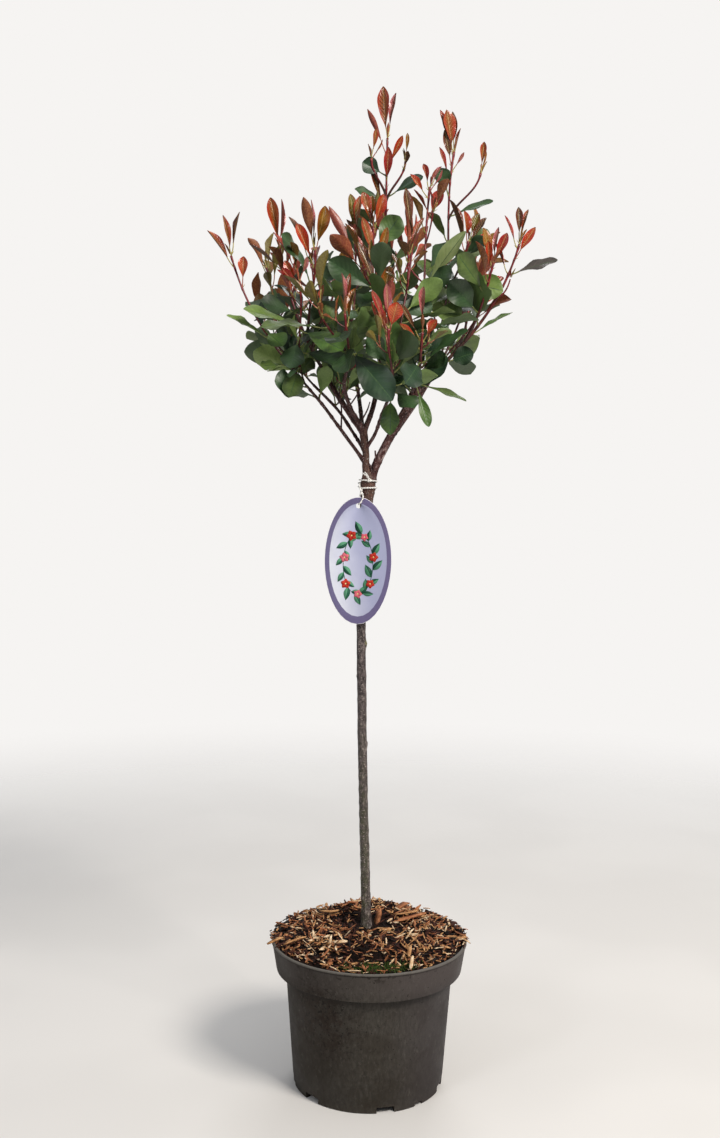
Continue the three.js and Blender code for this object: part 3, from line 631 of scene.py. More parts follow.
def linear(code):
    """A colour written as #rrggbb, as the RGBA that a shader takes."""
    parts = [int(code[i:i + 2], 16) / 255 for i in (1, 3, 5)]
    return (*[c / 12.92 if c <= 0.04045 else ((c + 0.055) / 1.055) ** 2.4 for c in parts], 1)


class Look:
    """A procedural material under construction, round one Principled shader.

    coat lays the first two colours, paint lays others over them, and finish gives the material.
    """

    def __init__(self, name, **sockets):
        self.material = bpy.data.materials.new(name)
        self.material.use_nodes = True
        self.tree = self.material.node_tree
        self.shader = self.tree.nodes["Principled BSDF"]
        for key, value in sockets.items():
            self.shader.inputs[key.replace("_", " ")].default_value = value
        self.place = self.node("TexCoord")
        self.colour = None

    def node(self, kind, inputs=None, **settings):
        """A node of one kind, with its settings, and its inputs linked or set."""
        made = self.tree.nodes.new("ShaderNode" + kind)
        for key, value in settings.items():
            setattr(made, key, value)
        for key, value in (inputs or {}).items():
            self.feed(made.inputs[key], value)
        return made

    def feed(self, socket, value):
        if isinstance(value, bpy.types.NodeSocket):
            self.tree.links.new(value, socket)
        elif isinstance(value, str):
            socket.default_value = linear(value)
        else:
            socket.default_value = value

    def noise(self, scale, detail=3, stretch=(1, 1, 1), space="Object", rough=0.5):
        """Noise over the object's own place in metres, or over its UV map."""
        where = self.node("Mapping", {"Vector": self.place.outputs[space], "Scale": stretch})
        inputs = {"Vector": where.outputs[0], "Scale": scale, "Detail": detail, "Roughness": rough}
        return self.node("TexNoise", inputs).outputs["Fac"]

    def smooth(self, value, low, high, to=(0, 1)):
        """A smooth step between two numbers, from where a value is low to where it is high."""
        inputs = {"Value": value, "From Min": low, "From Max": high, "To Min": to[0], "To Max": to[1]}
        return self.node("MapRange", inputs, interpolation_type="SMOOTHSTEP").outputs[0]

    def spots(self, scale, detail, low, high, to=(0, 1), **shape):
        """Soft spots, where noise rises from low to high."""
        return self.smooth(self.noise(scale, detail, **shape), low, high, to)

    def axis(self, name, space="Object"):
        return self.node("SeparateXYZ", {0: self.place.outputs[space]}).outputs[name]

    def ramp(self, name, low, high, to=(0, 1)):
        """A smooth step between two places on an axis, in millimetres."""
        return self.smooth(self.axis(name), low * MM, high * MM, to)

    def near(self, point, far, close, most=1):
        """A step up to most, from far from a point to close to it. All three are in millimetres."""
        inputs = {0: self.place.outputs["Object"], 1: [c * MM for c in point]}
        distance = self.node("VectorMath", inputs, operation="DISTANCE").outputs["Value"]
        return self.smooth(distance, far * MM, close * MM, (0, most))

    def maths(self, operation, *values):
        return self.node("Math", dict(enumerate(values)), operation=operation).outputs[0]

    def times(self, first, *others):
        for other in others:
            first = self.maths("MULTIPLY", first, other)
        return first

    def mix(self, factor, a, b):
        return self.node("Mix", {0: factor, 6: a, 7: b}, data_type="RGBA").outputs[2]

    def coat(self, value, low, high, dark, light, most=1):
        """The first colours: the dark one where a value is low, and the light one where it is high."""
        self.colour = self.mix(self.smooth(value, low, high, (0, most)), dark, light)

    def paint(self, colour, *masks):
        """Lays a colour over the others, as strongly as the product of the masks."""
        self.colour = self.mix(self.times(*masks), self.colour, colour)

    def finish(self, roughness=None, height=None, strength=0.5, depth=0.3):
        """The material, with its roughness and bump. depth is the bump's full height in millimetres."""
        self.feed(self.shader.inputs["Base Color"], self.colour)
        if roughness is not None:
            self.feed(self.shader.inputs["Roughness"], roughness)
        if height is not None:
            inputs = {"Height": height, "Strength": strength, "Distance": depth * MM}
            self.feed(self.shader.inputs["Normal"], self.node("Bump", inputs).outputs[0])
        return self.material


def pot_look():
    """Dark grey-green plastic, painted lighter towards the right, with a dark brown painted shade at the
    left, and a band painted paler as painted light, more so at its right.
    """
    look = Look("pot_plastic", Specular_IOR_Level=0.18)
    streaks = look.noise(380, 5, (1, 1, 0.4), rough=0.65)
    clouds = look.noise(24, 5, rough=0.6)
    look.coat(streaks, 0.3, 0.7, "#33302b", "#46423c")
    look.paint("#2e2820", look.smooth(clouds, 0.4, 0.7, (0, 0.5)))
    # Painted light: the right side of the pot lighter.
    look.paint("#3a3436", look.ramp("X", 0, 75, (0, 0.7)))
    # Painted shade: the left side of the pot darker and browner.
    look.paint("#211a12", look.ramp("X", 0, -80, (0, 0.85)))
    # Painted light: the band paler than the body below it, more so towards the right.
    look.paint("#4b4442", look.ramp("Z", 105, 125), look.ramp("X", -20, 70, (0.35, 0.75)))
    paint_dirt(look)
    paint_scuffs_shade_and_highlight(look)
    height = look.maths("ADD", look.times(streaks, 0.4), look.noise(1100, 3))
    return look.finish(look.smooth(clouds, 0.3, 0.7, (0.5, 0.7)), height, 0.35, 0.25)


def paint_dirt(look):
    """A stain with grains in it at the left, one low in front, drips from the band and lip, and specks."""
    stain = look.spots(70, 6, 0.34, 0.58, rough=0.75)
    at_left = look.near((-50, -70, 86), 62, 12)
    look.paint("#23170e", at_left, stain, 0.85)
    look.paint("#0f0905", at_left, look.spots(300, 4, 0.55, 0.63, rough=0.6))
    look.paint("#2c251c", look.near((5, -75, 20), 50, 10, 0.5), stain)
    drips = look.spots(150, 5, 0.55, 0.68, stretch=(1, 1, 0.35), rough=0.7)
    look.paint("#1f1812", drips, look.ramp("Z", 88, 112), look.ramp("Z", 128, 112), look.ramp("X", 20, -50))
    look.paint("#1d1610", look.ramp("Z", 128, 137), look.spots(210, 4, 0.56, 0.66), 0.8)
    look.paint("#0f0a07", look.spots(620, 2, 0.7, 0.75, rough=0.3), look.ramp("Z", 0, 120, (0.4, 1)))


def paint_scuffs_shade_and_highlight(look):
    """Pale scuffs, with painted shade under the band and in the lip's groove, and a painted highlight along
    the rim's top.
    """
    look.paint("#605c55", look.spots(260, 6, 0.54, 0.72, (0, 0.45), stretch=(1, 1, 0.6), rough=0.8))
    # Painted shade: a dark band on the body just under the band's overhang.
    look.paint("#17120e", look.ramp("Z", 100, 108.5), look.ramp("Z", 112.8, 112.2), 0.5)
    # Painted shade: a dark line in the groove under the lip.
    look.paint("#17120e", look.ramp("Z", 136.6, 137.6), look.ramp("Z", 138.4, 137.9), 0.8)
    # Painted highlight: the top of the rim lighter.
    look.paint("#6c6963", look.ramp("Z", 138.4, 139.2, (0, 0.6)))


def soil_look():
    look = Look("soil", Roughness=0.95, Specular_IOR_Level=0.15)
    grain = look.noise(300, 6, rough=0.7)
    look.coat(grain, 0.42, 0.68, "#0a0503", "#2a1811")
    return look.finish(height=grain, strength=0.9, depth=2.5)


def chip_look(name, dark, light):
    """Split wood with its grain along the chip."""
    look = Look("chip_" + name, Roughness=0.8, Specular_IOR_Level=0.25)
    grain = look.noise(3, 4, (1, 9, 1), "UV")
    look.coat(grain, 0.35, 0.65, dark, light)
    look.paint(dark, look.spots(210, 2, 0.52, 0.68, (0, 0.7)))
    return look.finish(height=grain, depth=0.5)


def moss_look():
    look = Look("moss", Roughness=0.9, Specular_IOR_Level=0.2)
    tufts = look.noise(700, 3)
    look.coat(tufts, 0.4, 0.6, "#18220c", "#415522")
    return look.finish(height=tufts, strength=0.8, depth=0.6)


def bark_coat(name, dark, light, scuff):
    """Bark with fine upright fibres and pale scuffs: the look, and the noises of its fibres and patches."""
    look = Look(name, Roughness=0.62, Specular_IOR_Level=0.35)
    fibres = look.noise(1000, 5, (1, 1, 0.4), rough=0.8)
    patches = look.noise(330, 5, (1, 1, 0.5), rough=0.75)
    look.coat(fibres, 0.38, 0.62, dark, light)
    look.paint(dark, look.smooth(patches, 0.36, 0.52, (0.85, 0)))
    look.paint(scuff, look.smooth(patches, 0.54, 0.68, (0, 0.8)))
    return look, fibres, patches


def bark_finish(look, fibres, patches, scuff):
    """Adds the pale lenticels and the relief."""
    lenticels = look.noise(520, 2, (1, 1, 1.4))
    look.paint(scuff, look.smooth(lenticels, 0.62, 0.68, (0, 0.9)))
    height = look.maths("ADD", fibres, look.smooth(lenticels, 0.6, 0.7))
    return look.finish(look.smooth(patches, 0.4, 0.7, (0.34, 0.6)), height, 0.9, 0.6)


def trunk_look():
    """Grey bark, browner above the graft, with a film of algae low at the left and one green bud."""
    scuff = "#b4a8a0"
    look, fibres, patches = bark_coat("trunk_bark", "#241f20", "#746867", scuff)
    brown = look.mix(look.smooth(fibres, 0.36, 0.64), "#38211b", "#735448")
    look.paint(brown, look.ramp("Z", 540, 575))
    film = look.spots(180, 3, 0.38, 0.6, (0.35, 1))
    look.paint("#474c2b", look.ramp("Z", 400, 170, (0, 0.7)), look.ramp("X", 3, -7), film)
    look.paint("#7c7a52", look.near((-5.5, -1, 428), 3.5, 2, 0.6))
    return bark_finish(look, fibres, patches, scuff)


def bough_look():
    """Red-brown bark, with a pale scar where the right bough leaves the trunk."""
    scuff = "#9f8886"
    look, fibres, patches = bark_coat("bough_bark", "#2b1514", "#603a35", scuff)
    torn = look.spots(420, 3, 0.44, 0.56, stretch=(1, 1, 0.3))
    look.paint("#b7a29d", look.near((10.5, -4, 606), 8.5, 4, 0.85), torn)
    return bark_finish(look, fibres, patches, scuff)


def stem_look(name, dark, light, gloss=0.42):
    """The skin of a twig, shoot or petiole."""
    look = Look(name, Roughness=gloss, Specular_IOR_Level=0.5)
    lines = look.noise(650, 4, (1, 1, 0.35))
    look.coat(lines, 0.36, 0.66, dark, light)
    look.paint("#b08a6a", look.spots(1500, 2, 0.68, 0.76, (0, 0.4)))
    return look.finish(height=lines, strength=0.4)


# For each tint, the colours of the upper face's middle and margin, its veins, and the underside.
LEAF_COLOURS = {
    "old": {
        "deep": ("#243f27", "#1c301e", "#3e5a38", "#485a3a"),
        "dark": ("#324f2b", "#273f20", "#527040", "#536936"),
        "moss": ("#4e632e", "#3f5026", "#768a4b", "#62753e"),
        "mid": ("#496b29", "#3b5825", "#7f994c", "#657e40"),
        "light": ("#688237", "#57702d", "#99af66", "#809656"),
        "pale": ("#8f9f64", "#7c8d52", "#b4c08c", "#98a678"),
        "dusky": ("#433e39", "#35312d", "#6a625a", "#4e4842"),
    },
    "young": {
        "copper": ("#7d4616", "#a32f1b", "#c4884a", "#7b4226"),
        "amber": ("#7d560c", "#944412", "#c29a42", "#764e1e"),
        "olive": ("#5f5d16", "#804716", "#999044", "#665826"),
        "crimson": ("#832718", "#9c1a20", "#c4704c", "#7f362e"),
        "scarlet": ("#a04219", "#b22516", "#d48c54", "#91432e"),
        "bronze": ("#4c3214", "#6b2a18", "#866230", "#5e3a20"),
        "blush": ("#99564c", "#9f424c", "#cc9c8c", "#a06660"),
    },
}
# The skin of each kind: the weight and roughness of the clear coat above and below, the roughness under it,
# how bold the veins are, how deep the skin sinks at them, how strongly that shows, and the rib's colours.
SKIN = {
    "old": {
        "coat": (0.12, 0.24), "under_coat": (0.0, 0.3), "rough": (0.4, 0.55),
        "veins": 0.2, "sink": -0.9, "bump": 0.5, "rib": ("#304a2b", "#44603a"),
    },
    "young": {
        "coat": (0.42, 0.14), "under_coat": (0.3, 0.2), "rough": (0.22, 0.36),
        "veins": 0.4, "sink": -2.0, "bump": 1.0, "rib": ("#a87a45", "#c4a468"),
    },
}
VEINS = {"count": 9.0, "slant": 2.0}  # side veins along a blade, and how many of their gaps each one climbs


def vein_waves(look):
    """How near a point is to the margin, and a wave that rises to half at each side vein."""
    side = look.maths("ABSOLUTE", look.maths("MULTIPLY_ADD", look.axis("X", "UV"), 2.0, -1.0))
    along = look.times(look.axis("Y", "UV"), VEINS["count"])
    slant = look.maths("SUBTRACT", along, look.times(side, VEINS["slant"]))
    return side, look.maths("PINGPONG", slant, 0.5)


def leaf_look(name, kind):
    """A blade's upper face, with side veins that slant forward from the rib, bold on a young leaf."""
    skin = SKIN[kind]
    middle, margin, vein = LEAF_COLOURS[kind][name][:3]
    weight, rough = skin["coat"]
    look = Look("leaf_" + name, Specular_IOR_Level=0.5, Coat_Weight=weight, Coat_Roughness=rough)
    side, wave = vein_waves(look)
    inside = look.smooth(side, 1.0, 0.55)
    mottle = look.noise(110, 4)
    look.coat(side, 0.1, 0.95, middle, margin)
    look.paint(vein, look.smooth(mottle, 0.42, 0.7, (0, 0.25)))
    look.paint(vein, look.smooth(wave, 0.4, 0.5), inside, skin["veins"])
    look.paint(vein, look.smooth(side, 0.95, 1.0, (0, 0.3)))
    pillows = look.times(wave, inside, skin["sink"])
    height = look.maths("ADD", pillows, look.times(look.noise(900, 3), 0.5))
    return look.finish(look.smooth(mottle, 0.3, 0.7, skin["rough"]), height, skin["bump"], 0.4)


def under_look(name, kind):
    """A blade's underside: paler, duller, with a fine net of veins."""
    weight, rough = SKIN[kind]["under_coat"]
    vein, under = LEAF_COLOURS[kind][name][2:]
    look = Look("under_" + name, Roughness=0.5, Coat_Weight=weight, Coat_Roughness=rough)
    wave = vein_waves(look)[1]
    net = look.noise(600, 4)
    look.coat(net, 0.4, 0.66, under, vein, most=0.3)
    look.paint(vein, look.smooth(wave, 0.36, 0.5, (0, 0.2)))
    height = look.maths("ADD", net, look.smooth(wave, 0.2, 0.5, (0, 0.6)))
    return look.finish(height=height, strength=0.35, depth=0.25)


def leaf_looks(kind):
    """The looks of one kind of leaf: its upper faces, its undersides and its rib."""
    names = LEAF_COLOURS[kind]
    uppers = [leaf_look(name, kind) for name in names]
    unders = [under_look(name, kind) for name in names]
    return [*uppers, *unders, stem_look("rib_" + kind, *SKIN[kind]["rib"])]


def card_look(name, left, right):
    """Printed plastic card, every colour darker from the left towards the right and the top as painted
    shade, the field most, from pale blue to lilac.
    """
    look = Look(name, Specular_IOR_Level=0.12)
    # Painted shade: every ink turns to its darker colour towards the right and the top of the card.
    climb = look.maths("MULTIPLY_ADD", look.axis("Z"), 0.2, -0.2 * TAG["centre"][2] * MM)
    painted_shade_drift = look.maths("ADD", look.maths("ADD", look.axis("X"), climb), look.times(look.noise(60, 2), 0.012))
    look.coat(painted_shade_drift, -0.05, 0.0, left, right)
    return look.finish(look.spots(90, 3, 0.3, 0.7, (0.4, 0.55)), look.noise(1400, 2), 0.1, 0.1)


def string_look():
    look = Look("cotton", Roughness=0.95, Specular_IOR_Level=0.1, Sheen_Weight=0.3)
    fibres = look.noise(2600, 3)
    look.coat(fibres, 0.35, 0.65, "#e4e2dc", "#fcfbf8")
    return look.finish(height=fibres, strength=0.8, depth=0.25)


# The pot

def pot_profile():
    """The pot's section: from the recess underneath up the outside, over the rim and down the inside."""
    base, body, band = POT["base_radius"], POT["body_top_radius"], POT["band_foot_radius"]
    edge, wall, floor_top, foot = POT["edge"], POT["wall"], POT["floor"], POT["band_foot"]
    lip, lip_foot = RIM_RADIUS - POT["lip_reach"], POT_HEIGHT - POT["lip"]
    inner = lip - wall
    underside = [(base - 6, floor_top - 1), (base - 5, 0), (base - edge, 0), (base, edge)]
    step = [(base + 0.7, 9), (base + 0.95, 9.3)]
    under_band = [(body, foot - 1.2), (body + 0.3, foot - 0.3), (body + 1, foot), (band - 1, foot)]
    on_band = [
        (band - 0.2, foot + 0.3), (band + 0.15, foot + 1.1),
        (lip, lip_foot - 1.2), (lip + 0.1, lip_foot - 0.3),
    ]
    over_lip = [(RIM_RADIUS - 0.2, lip_foot), (RIM_RADIUS, lip_foot + 0.4)]
    rim = [
        (RIM_RADIUS, POT_HEIGHT - edge), (RIM_RADIUS - edge, POT_HEIGHT),
        (inner + edge, POT_HEIGHT), (inner, POT_HEIGHT - edge),
    ]
    inside = [(band - wall, foot + 3), (body - wall, foot + 1), (base - wall, floor_top)]
    return [*underside, *step, *under_band, *on_band, *over_lip, *rim, *inside]


def pot():
    """The pot turned from its profile, with its drain notches cut."""
    profile = pot_profile()
    sides = POT["sides"]
    points = [(r * math.sin(turn), -r * math.cos(turn), z) for r, z in profile for turn in turns_of(sides)]
    faces = grid_faces(len(profile), sides, closed=True)
    under, over = len(points), len(points) + 1
    points += [(0, 0, POT["floor"] - 1), (0, 0, POT["floor"])]
    last = (len(profile) - 1) * sides
    for k in range(sides):
        k2 = (k + 1) % sides
        faces.append((k2, k, under))
        faces.append((last + k, last + k2, over))
    shell = Pile()
    shell.add(points, faces)
    made = shell.build("pot_shell", [pot_look()], "pot_plastic", "pot")
    cut(made, notch_boxes())
    made.data.set_sharp_from_angle(angle=math.radians(POT["sharp_from"]))


def notch_boxes():
    """The boxes that cut the drain notches from the pot's bottom edge."""
    boxes = bmesh.new()
    for count, first, width, height, depth in NOTCHES:
        for i in range(count):
            turn = Matrix.Rotation(math.radians(first + 360 * i / count), 4, "Z")
            shift = Matrix.Translation((0, -POT["base_radius"] * MM, 0))
            size = Matrix.Diagonal((width * MM, 2 * depth * MM, 2 * height * MM, 1))
            bmesh.ops.create_cube(boxes, size=1, matrix=turn @ shift @ size)
    return boxes


def cut(target, tool):
    """Cuts a closed bmesh tool out of a piece."""
    mesh = bpy.data.meshes.new("cutter")
    tool.to_mesh(mesh)
    tool.free()
    cutter = new_object("cutter", mesh)
    modifier = target.modifiers.new("cut", "BOOLEAN")
    modifier.operation = "DIFFERENCE"
    modifier.object = cutter
    bpy.context.view_layer.update()
    evaluated = target.evaluated_get(bpy.context.evaluated_depsgraph_get())
    target.data = bpy.data.meshes.new_from_object(evaluated)
    target.modifiers.clear()
    bpy.data.objects.remove(cutter)


# The mulch

def mulch_height(x, y, rough=1.0):
    """The height of the mulch's surface. It is heaped up behind the trunk."""
    share = (math.hypot(x, y) - MULCH["slope_start"]) / (RIM_RADIUS - MULCH["slope_start"])
    share = min(1, max(0, share))
    fall = lerp(MULCH["shoulder"], MULCH["edge"], share * share * (3 - 2 * share))
    height, middle, reach = MULCH["heap"]
    away = ((x - middle[0]) / reach[0]) ** 2 + ((y - middle[1]) / reach[1]) ** 2
    heap = height * (1 - share * share) * math.exp(-away)
    lumps = sum(high * noise.noise(Vector((x, y, seed)) * scale) for high, seed, scale in MULCH["lumps"])
    return fall - MULCH["chip_room"] + heap + rough * lumps


def mulch():
    """The rough dark surface under the chips."""
    inner = RIM_RADIUS - POT["lip_reach"] - POT["wall"] - GAP
    soil = Pile()
    soil.add(*disc(MULCH["rings"], MULCH["sides"], inner, MULCH["first_ring"], mulch_height))
    soil.build("mulch_bed", [soil_look()], "compost", "compost")


# Each kind of chip: its dark and light wood, and how common it is.
CHIPS = {
    "cream": ("#c0986c", "#fae6c6", 0.14),
    "straw": ("#8e5f38", "#e0b07c", 0.19),
    "tan": ("#6a3e26", "#b87c54", 0.19),
    "orange": ("#80452a", "#cc8e60", 0.08),
    "brown": ("#26140f", "#532c20", 0.25),
    "black": ("#0a0504", "#1e100d", 0.23),
}
CHIP_NAMES = list(CHIPS)
CRUMBS = ["brown", "black"]  # the kinds that are short and thick
# Chips that stand out: centre, length, width, turn, tilt, and colour.
BIG_CHIPS = [
    ((40, 10, 157), 34, 11, 10, 10, "orange"),
    ((37, 17, 159), 24, 6, 6, 8, "straw"),
    ((33, 35, 160), 17, 8, 30, 10, "tan"),
    ((9, 8, 158), 17, 6, 62, 48, "tan"),
    ((-39, 22, 158), 19, 8, -18, 8, "straw"),
    ((-90, -19, 143), 17, 3.5, 26, 14, "straw"),
    ((-70, -31, 148), 23, 3.6, 20, 12, "straw"),
    ((38, -79, 146), 15, 3.6, 80, 30, "cream"),
    ((37, -62, 150), 15, 3.8, 84, 18, "straw"),
    ((-27, -43, 151), 13, 4, 10, 4, "cream"),
    ((24, 7, 153), 14, 4.5, -50, 10, "cream"),
    ((90, 20, 141.5), 11, 2, -15, 4, "black"),
    ((68, -22, 148), 17, 3, -14, 6, "orange"),
]
BIG_CHIP = {"thick": 1.5, "roll": 10}
# The loose chips. A pair is a range, unless its comment says otherwise.
LOOSE = {
    "count": 2900,
    "from_axis": (10, 97),
    "sprawl": (90.3, 98),  # how far from the axis a chip may reach, at the front and elsewhere
    "damp": 0.55,  # the share of chips that are sure to be crumbs where the bed is damp
    "length": (2.1, 0.42),  # the mean and spread of its logarithm
    "longest": 26,
    "longest_crumb": 12,
    "width": (0.6, 2.4),
    "thick": (0.4, 1.1),
    "broad": (0.15, 1.6),  # the share of chips that are broader, and how much
    "crumb_thick": 1.8,  # how much thicker a crumb is
    "steep_share": 0.12,
    "steep": (25, 60),  # the tilt of those few that stand up, in degrees
    "tilt": 18,  # the spread of the others' tilt, in degrees
    "roll": 28,  # the spread of the roll, in degrees
    "lift": (0.6, 1.5),  # the mean and spread of how high a chip lies
    "crumb_lift": (-0.3, 1.2),
    # A chip that comes this near to the rim's edge lies over it, so high and with that spread of tilt.
    "at_rim": 4, "over_rim": 0.6, "rim_tilt": 5,
}


def chip_shape(dice, length, width, thick):
    """The 16 points of one splinter: four rings of four corners, tapered, skewed and bent."""
    bend = dice.uniform(-0.06, 0.06) * length
    points = []
    for along, share in ((-1, 0.3), (-0.55, 1), (0.45, 0.9), (1, dice.uniform(0.1, 0.5))):
        shift = dice.uniform(-0.15, 0.15) * width
        for across, up in ((-1, -1), (1, -1), (1, 1), (-1, 1)):
            x = along * length / 2 * dice.uniform(0.9, 1.08)
            y = shift + across * share * width / 2 * dice.uniform(0.75, 1.1)
            z = up * thick / 2 * dice.uniform(0.7, 1.1) + bend * (along * along - 0.5)
            points.append((x, y, z))
    return points


CHIP_FACES = [*grid_faces(4, 4, closed=True), (3, 2, 1, 0), (12, 13, 14, 15)]
CHIP_UVS = [(r / 3, c / 4) for r in range(4) for c in range(4)]


def add_chip(pile, dice, centre, sizes, angles, look):
    """Adds a chip lying at its centre. angles are its turn, tilt and roll in degrees."""
    turn, tilt, roll = (math.radians(a) for a in angles)
    place = Matrix.Rotation(turn, 3, "Z") @ Matrix.Rotation(-tilt, 3, "Y") @ Matrix.Rotation(roll, 3, "X")
    points = np.array(chip_shape(dice, *sizes)) @ np.array(place).T + vec(centre)
    pile.add(points, CHIP_FACES, look, CHIP_UVS, range(16))


def sprawl(x, y):
    """How far from the axis chips may reach in one direction."""
    back = min(1, max(0, (y / math.hypot(x, y) + 0.45) / 0.4))
    return lerp(*LOOSE["sprawl"], back)


def chip_kind(dice, x, y):
    """A random kind of chip. Where the bed is damp, more of them are dark crumbs."""
    if noise.noise(Vector((x, y, 9)) * 0.08) > 0.1 and dice.random() < LOOSE["damp"]:
        return dice.choice(CRUMBS)
    return dice.choices(CHIP_NAMES, [row[2] for row in CHIPS.values()])[0]


def chip_sizes(dice, crumb):
    """The length, width and thickness of a random chip."""
    longest = LOOSE["longest_crumb"] if crumb else LOOSE["longest"]
    length = min(longest, dice.lognormvariate(*LOOSE["length"]))
    share, broader = LOOSE["broad"]
    width = dice.uniform(*LOOSE["width"]) * (0.6 + length / 24) * (broader if dice.random() < share else 1)
    return length, width, dice.uniform(*LOOSE["thick"]) * (LOOSE["crumb_thick"] if crumb else 1)


def add_loose_chip(pile, dice):
    """Adds one chip of a random kind anywhere on the bed, unless it would reach too far out."""
    r = lerp(*LOOSE["from_axis"], math.sqrt(dice.random()))
    turn = dice.uniform(0, 2 * math.pi)
    x, y = r * math.cos(turn), r * math.sin(turn)
    name = chip_kind(dice, x, y)
    crumb = name in CRUMBS
    sizes = chip_sizes(dice, crumb)
    heading = dice.uniform(0, 2 * math.pi)
    lift = dice.uniform(*LOOSE["crumb_lift"]) if crumb else abs(dice.gauss(*LOOSE["lift"]))
    is_steep = dice.random() < LOOSE["steep_share"]
    tilt = dice.uniform(*LOOSE["steep"]) if is_steep else dice.gauss(0, LOOSE["tilt"])
    half = sizes[0] / 2 * math.cos(math.radians(tilt))
    far = max(math.hypot(x + s * math.cos(heading), y + s * math.sin(heading)) for s in (-half, half))
    if far > sprawl(x, y):
        return
    level = mulch_height(x, y, MULCH["followed"])
    if far > RIM_RADIUS - LOOSE["at_rim"]:
        level = max(level, POT_HEIGHT + LOOSE["over_rim"])
        tilt = dice.gauss(0, LOOSE["rim_tilt"])
    angles = (math.degrees(heading), tilt, dice.gauss(0, LOOSE["roll"]))
    add_chip(pile, dice, (x, y, level + lift), sizes, angles, CHIP_NAMES.index(name))


def chips():
    """Shredded bark and wood over the whole bed, some of it over the rim."""
    dice = random.Random(11)
    pile = Pile()
    for _ in range(LOOSE["count"]):
        add_loose_chip(pile, dice)
    for centre, length, width, heading, tilt, name in BIG_CHIPS:
        angles = (heading, tilt, dice.gauss(0, BIG_CHIP["roll"]))
        add_chip(pile, dice, centre, (length, width, BIG_CHIP["thick"]), angles, CHIP_NAMES.index(name))
    materials = [chip_look(name, *row[:2]) for name, row in CHIPS.items()]
    pile.build("mulch_chips", materials, "compost")


# The tufts of moss. within is how far they keep from the rim, and crowding the share of their reach
# that most of them keep to.
MOSS = {
    "middle": (10, -81), "reach": (33, 8), "crowding": 0.45, "tufts": 1000, "within": 6,
    "length": (2, 4), "width": (0.5, 0.9), "thick": (0.4, 0.7), "lift": (0.3, 1.8), "tilt": (30, 90),
}


def moss():
    """A cushion of short green tufts at the front, just inside the rim."""
    dice = random.Random(5)
    pile = Pile()
    for _ in range(MOSS["tufts"]):
        x = MOSS["middle"][0] + MOSS["reach"][0] * dice.gauss(0, MOSS["crowding"])
        y = MOSS["middle"][1] + MOSS["reach"][1] * dice.gauss(0, MOSS["crowding"]) + 0.005 * x * x
        if math.hypot(x, y) > RIM_RADIUS - MOSS["within"]:
            continue
        sizes = [dice.uniform(*MOSS[key]) for key in ("length", "width", "thick")]
        centre = (x, y, mulch_height(x, y, MULCH["followed"]) + dice.uniform(*MOSS["lift"]))
        add_chip(pile, dice, centre, sizes, (dice.uniform(0, 360), dice.uniform(*MOSS["tilt"]), 0), 0)
    pile.build("moss", [moss_look()], "compost")


# Trunk and boughs

def bark_relief(scale, depth, seed):
    """A relief of upright ridges, low lumps and small raised lenticels."""
    def relief(point, _):
        p = Vector(point)
        ridges = noise.noise(Vector((p.x * scale, p.y * scale, p.z * scale * 0.2 + seed)))
        lumps = noise.noise(p * 0.12 + Vector((0, 0, seed)))
        dots = noise.noise(Vector((p.x * 0.6, p.y * 0.6, p.z * 1.2 + 3 * seed)))
        return depth * (0.6 * ridges + 0.8 * lumps + 1.2 * max(0, dots - 0.3) - 0.3)
    return relief


def bump(away):
    """A smooth bump, 1 high in its middle. away is the distance from there, in its own reach."""
    return math.exp(-away * away)


def swelling(kind, distance):
    """What a swelling adds to the radius at a distance from its middle."""
    height, reach = SWELLINGS[kind]
    return height * bump(distance / reach)


def trunk():
    """The trunk, knobbly where it was grafted, with its buds and old leaf scars as low knobs."""
    curve = Spline([row[:3] for row in TRUNK])
    sizes = [row[3] for row in TRUNK]
    spans = len(TRUNK) - 1
    rough = bark_relief(1.0, 0.5, 4)

    def radius(u):
        return float(np.interp(u * spans, range(spans + 1), sizes))

    def relief(point, turn):
        height = rough(point, turn)
        for level, side, size in KNOBS:
            drop = (point[2] - level) / KNOB["height"]
            if abs(drop) < 3:
                aside = math.remainder(turn - math.radians(side), 2 * math.pi) / KNOB["turn"]
                height += size * bump(drop) * bump(aside)
        graft = GRAFT["lumps"] * bump((point[2] - GRAFT["height"]) / GRAFT["reach"])
        leader = LEADER["bark"] * min(1, max(0, (point[2] - LEADER["from"]) / LEADER["over"]))
        return height + leader + graft * noise.noise(Vector(point) * GRAFT["scale"])

    pile = Pile()
    add_tube(pile, tube(curve, radius, *TUBES["trunk"], relief))
    pile.build("trunk_bark", [trunk_look()], "bark", "trunk")


def add_bough(pile, index, name):
    """One bough, with a collar at its foot and low knuckles along it."""
    path, radii = BOUGHS[name]
    curve = Spline(path)
    length = np.linalg.norm(vec(path[-1]) - vec(path[0]))
    nodes = [chance(700, index, k) for k in range(KNUCKLES)]

    def radius(u):
        collar = swelling("collar", u * length)
        knuckles = sum(swelling("bough", (u - at) * length) for at in nodes)
        return lerp(*radii, math.sqrt(u)) + BOUGH_BARK.get(name, 0) + collar + knuckles

    sides, step = TUBES["bough"]
    add_tube(pile, tube(curve, radius, sides, int(length / step), bark_relief(1.3, 0.18, 10 + index)))


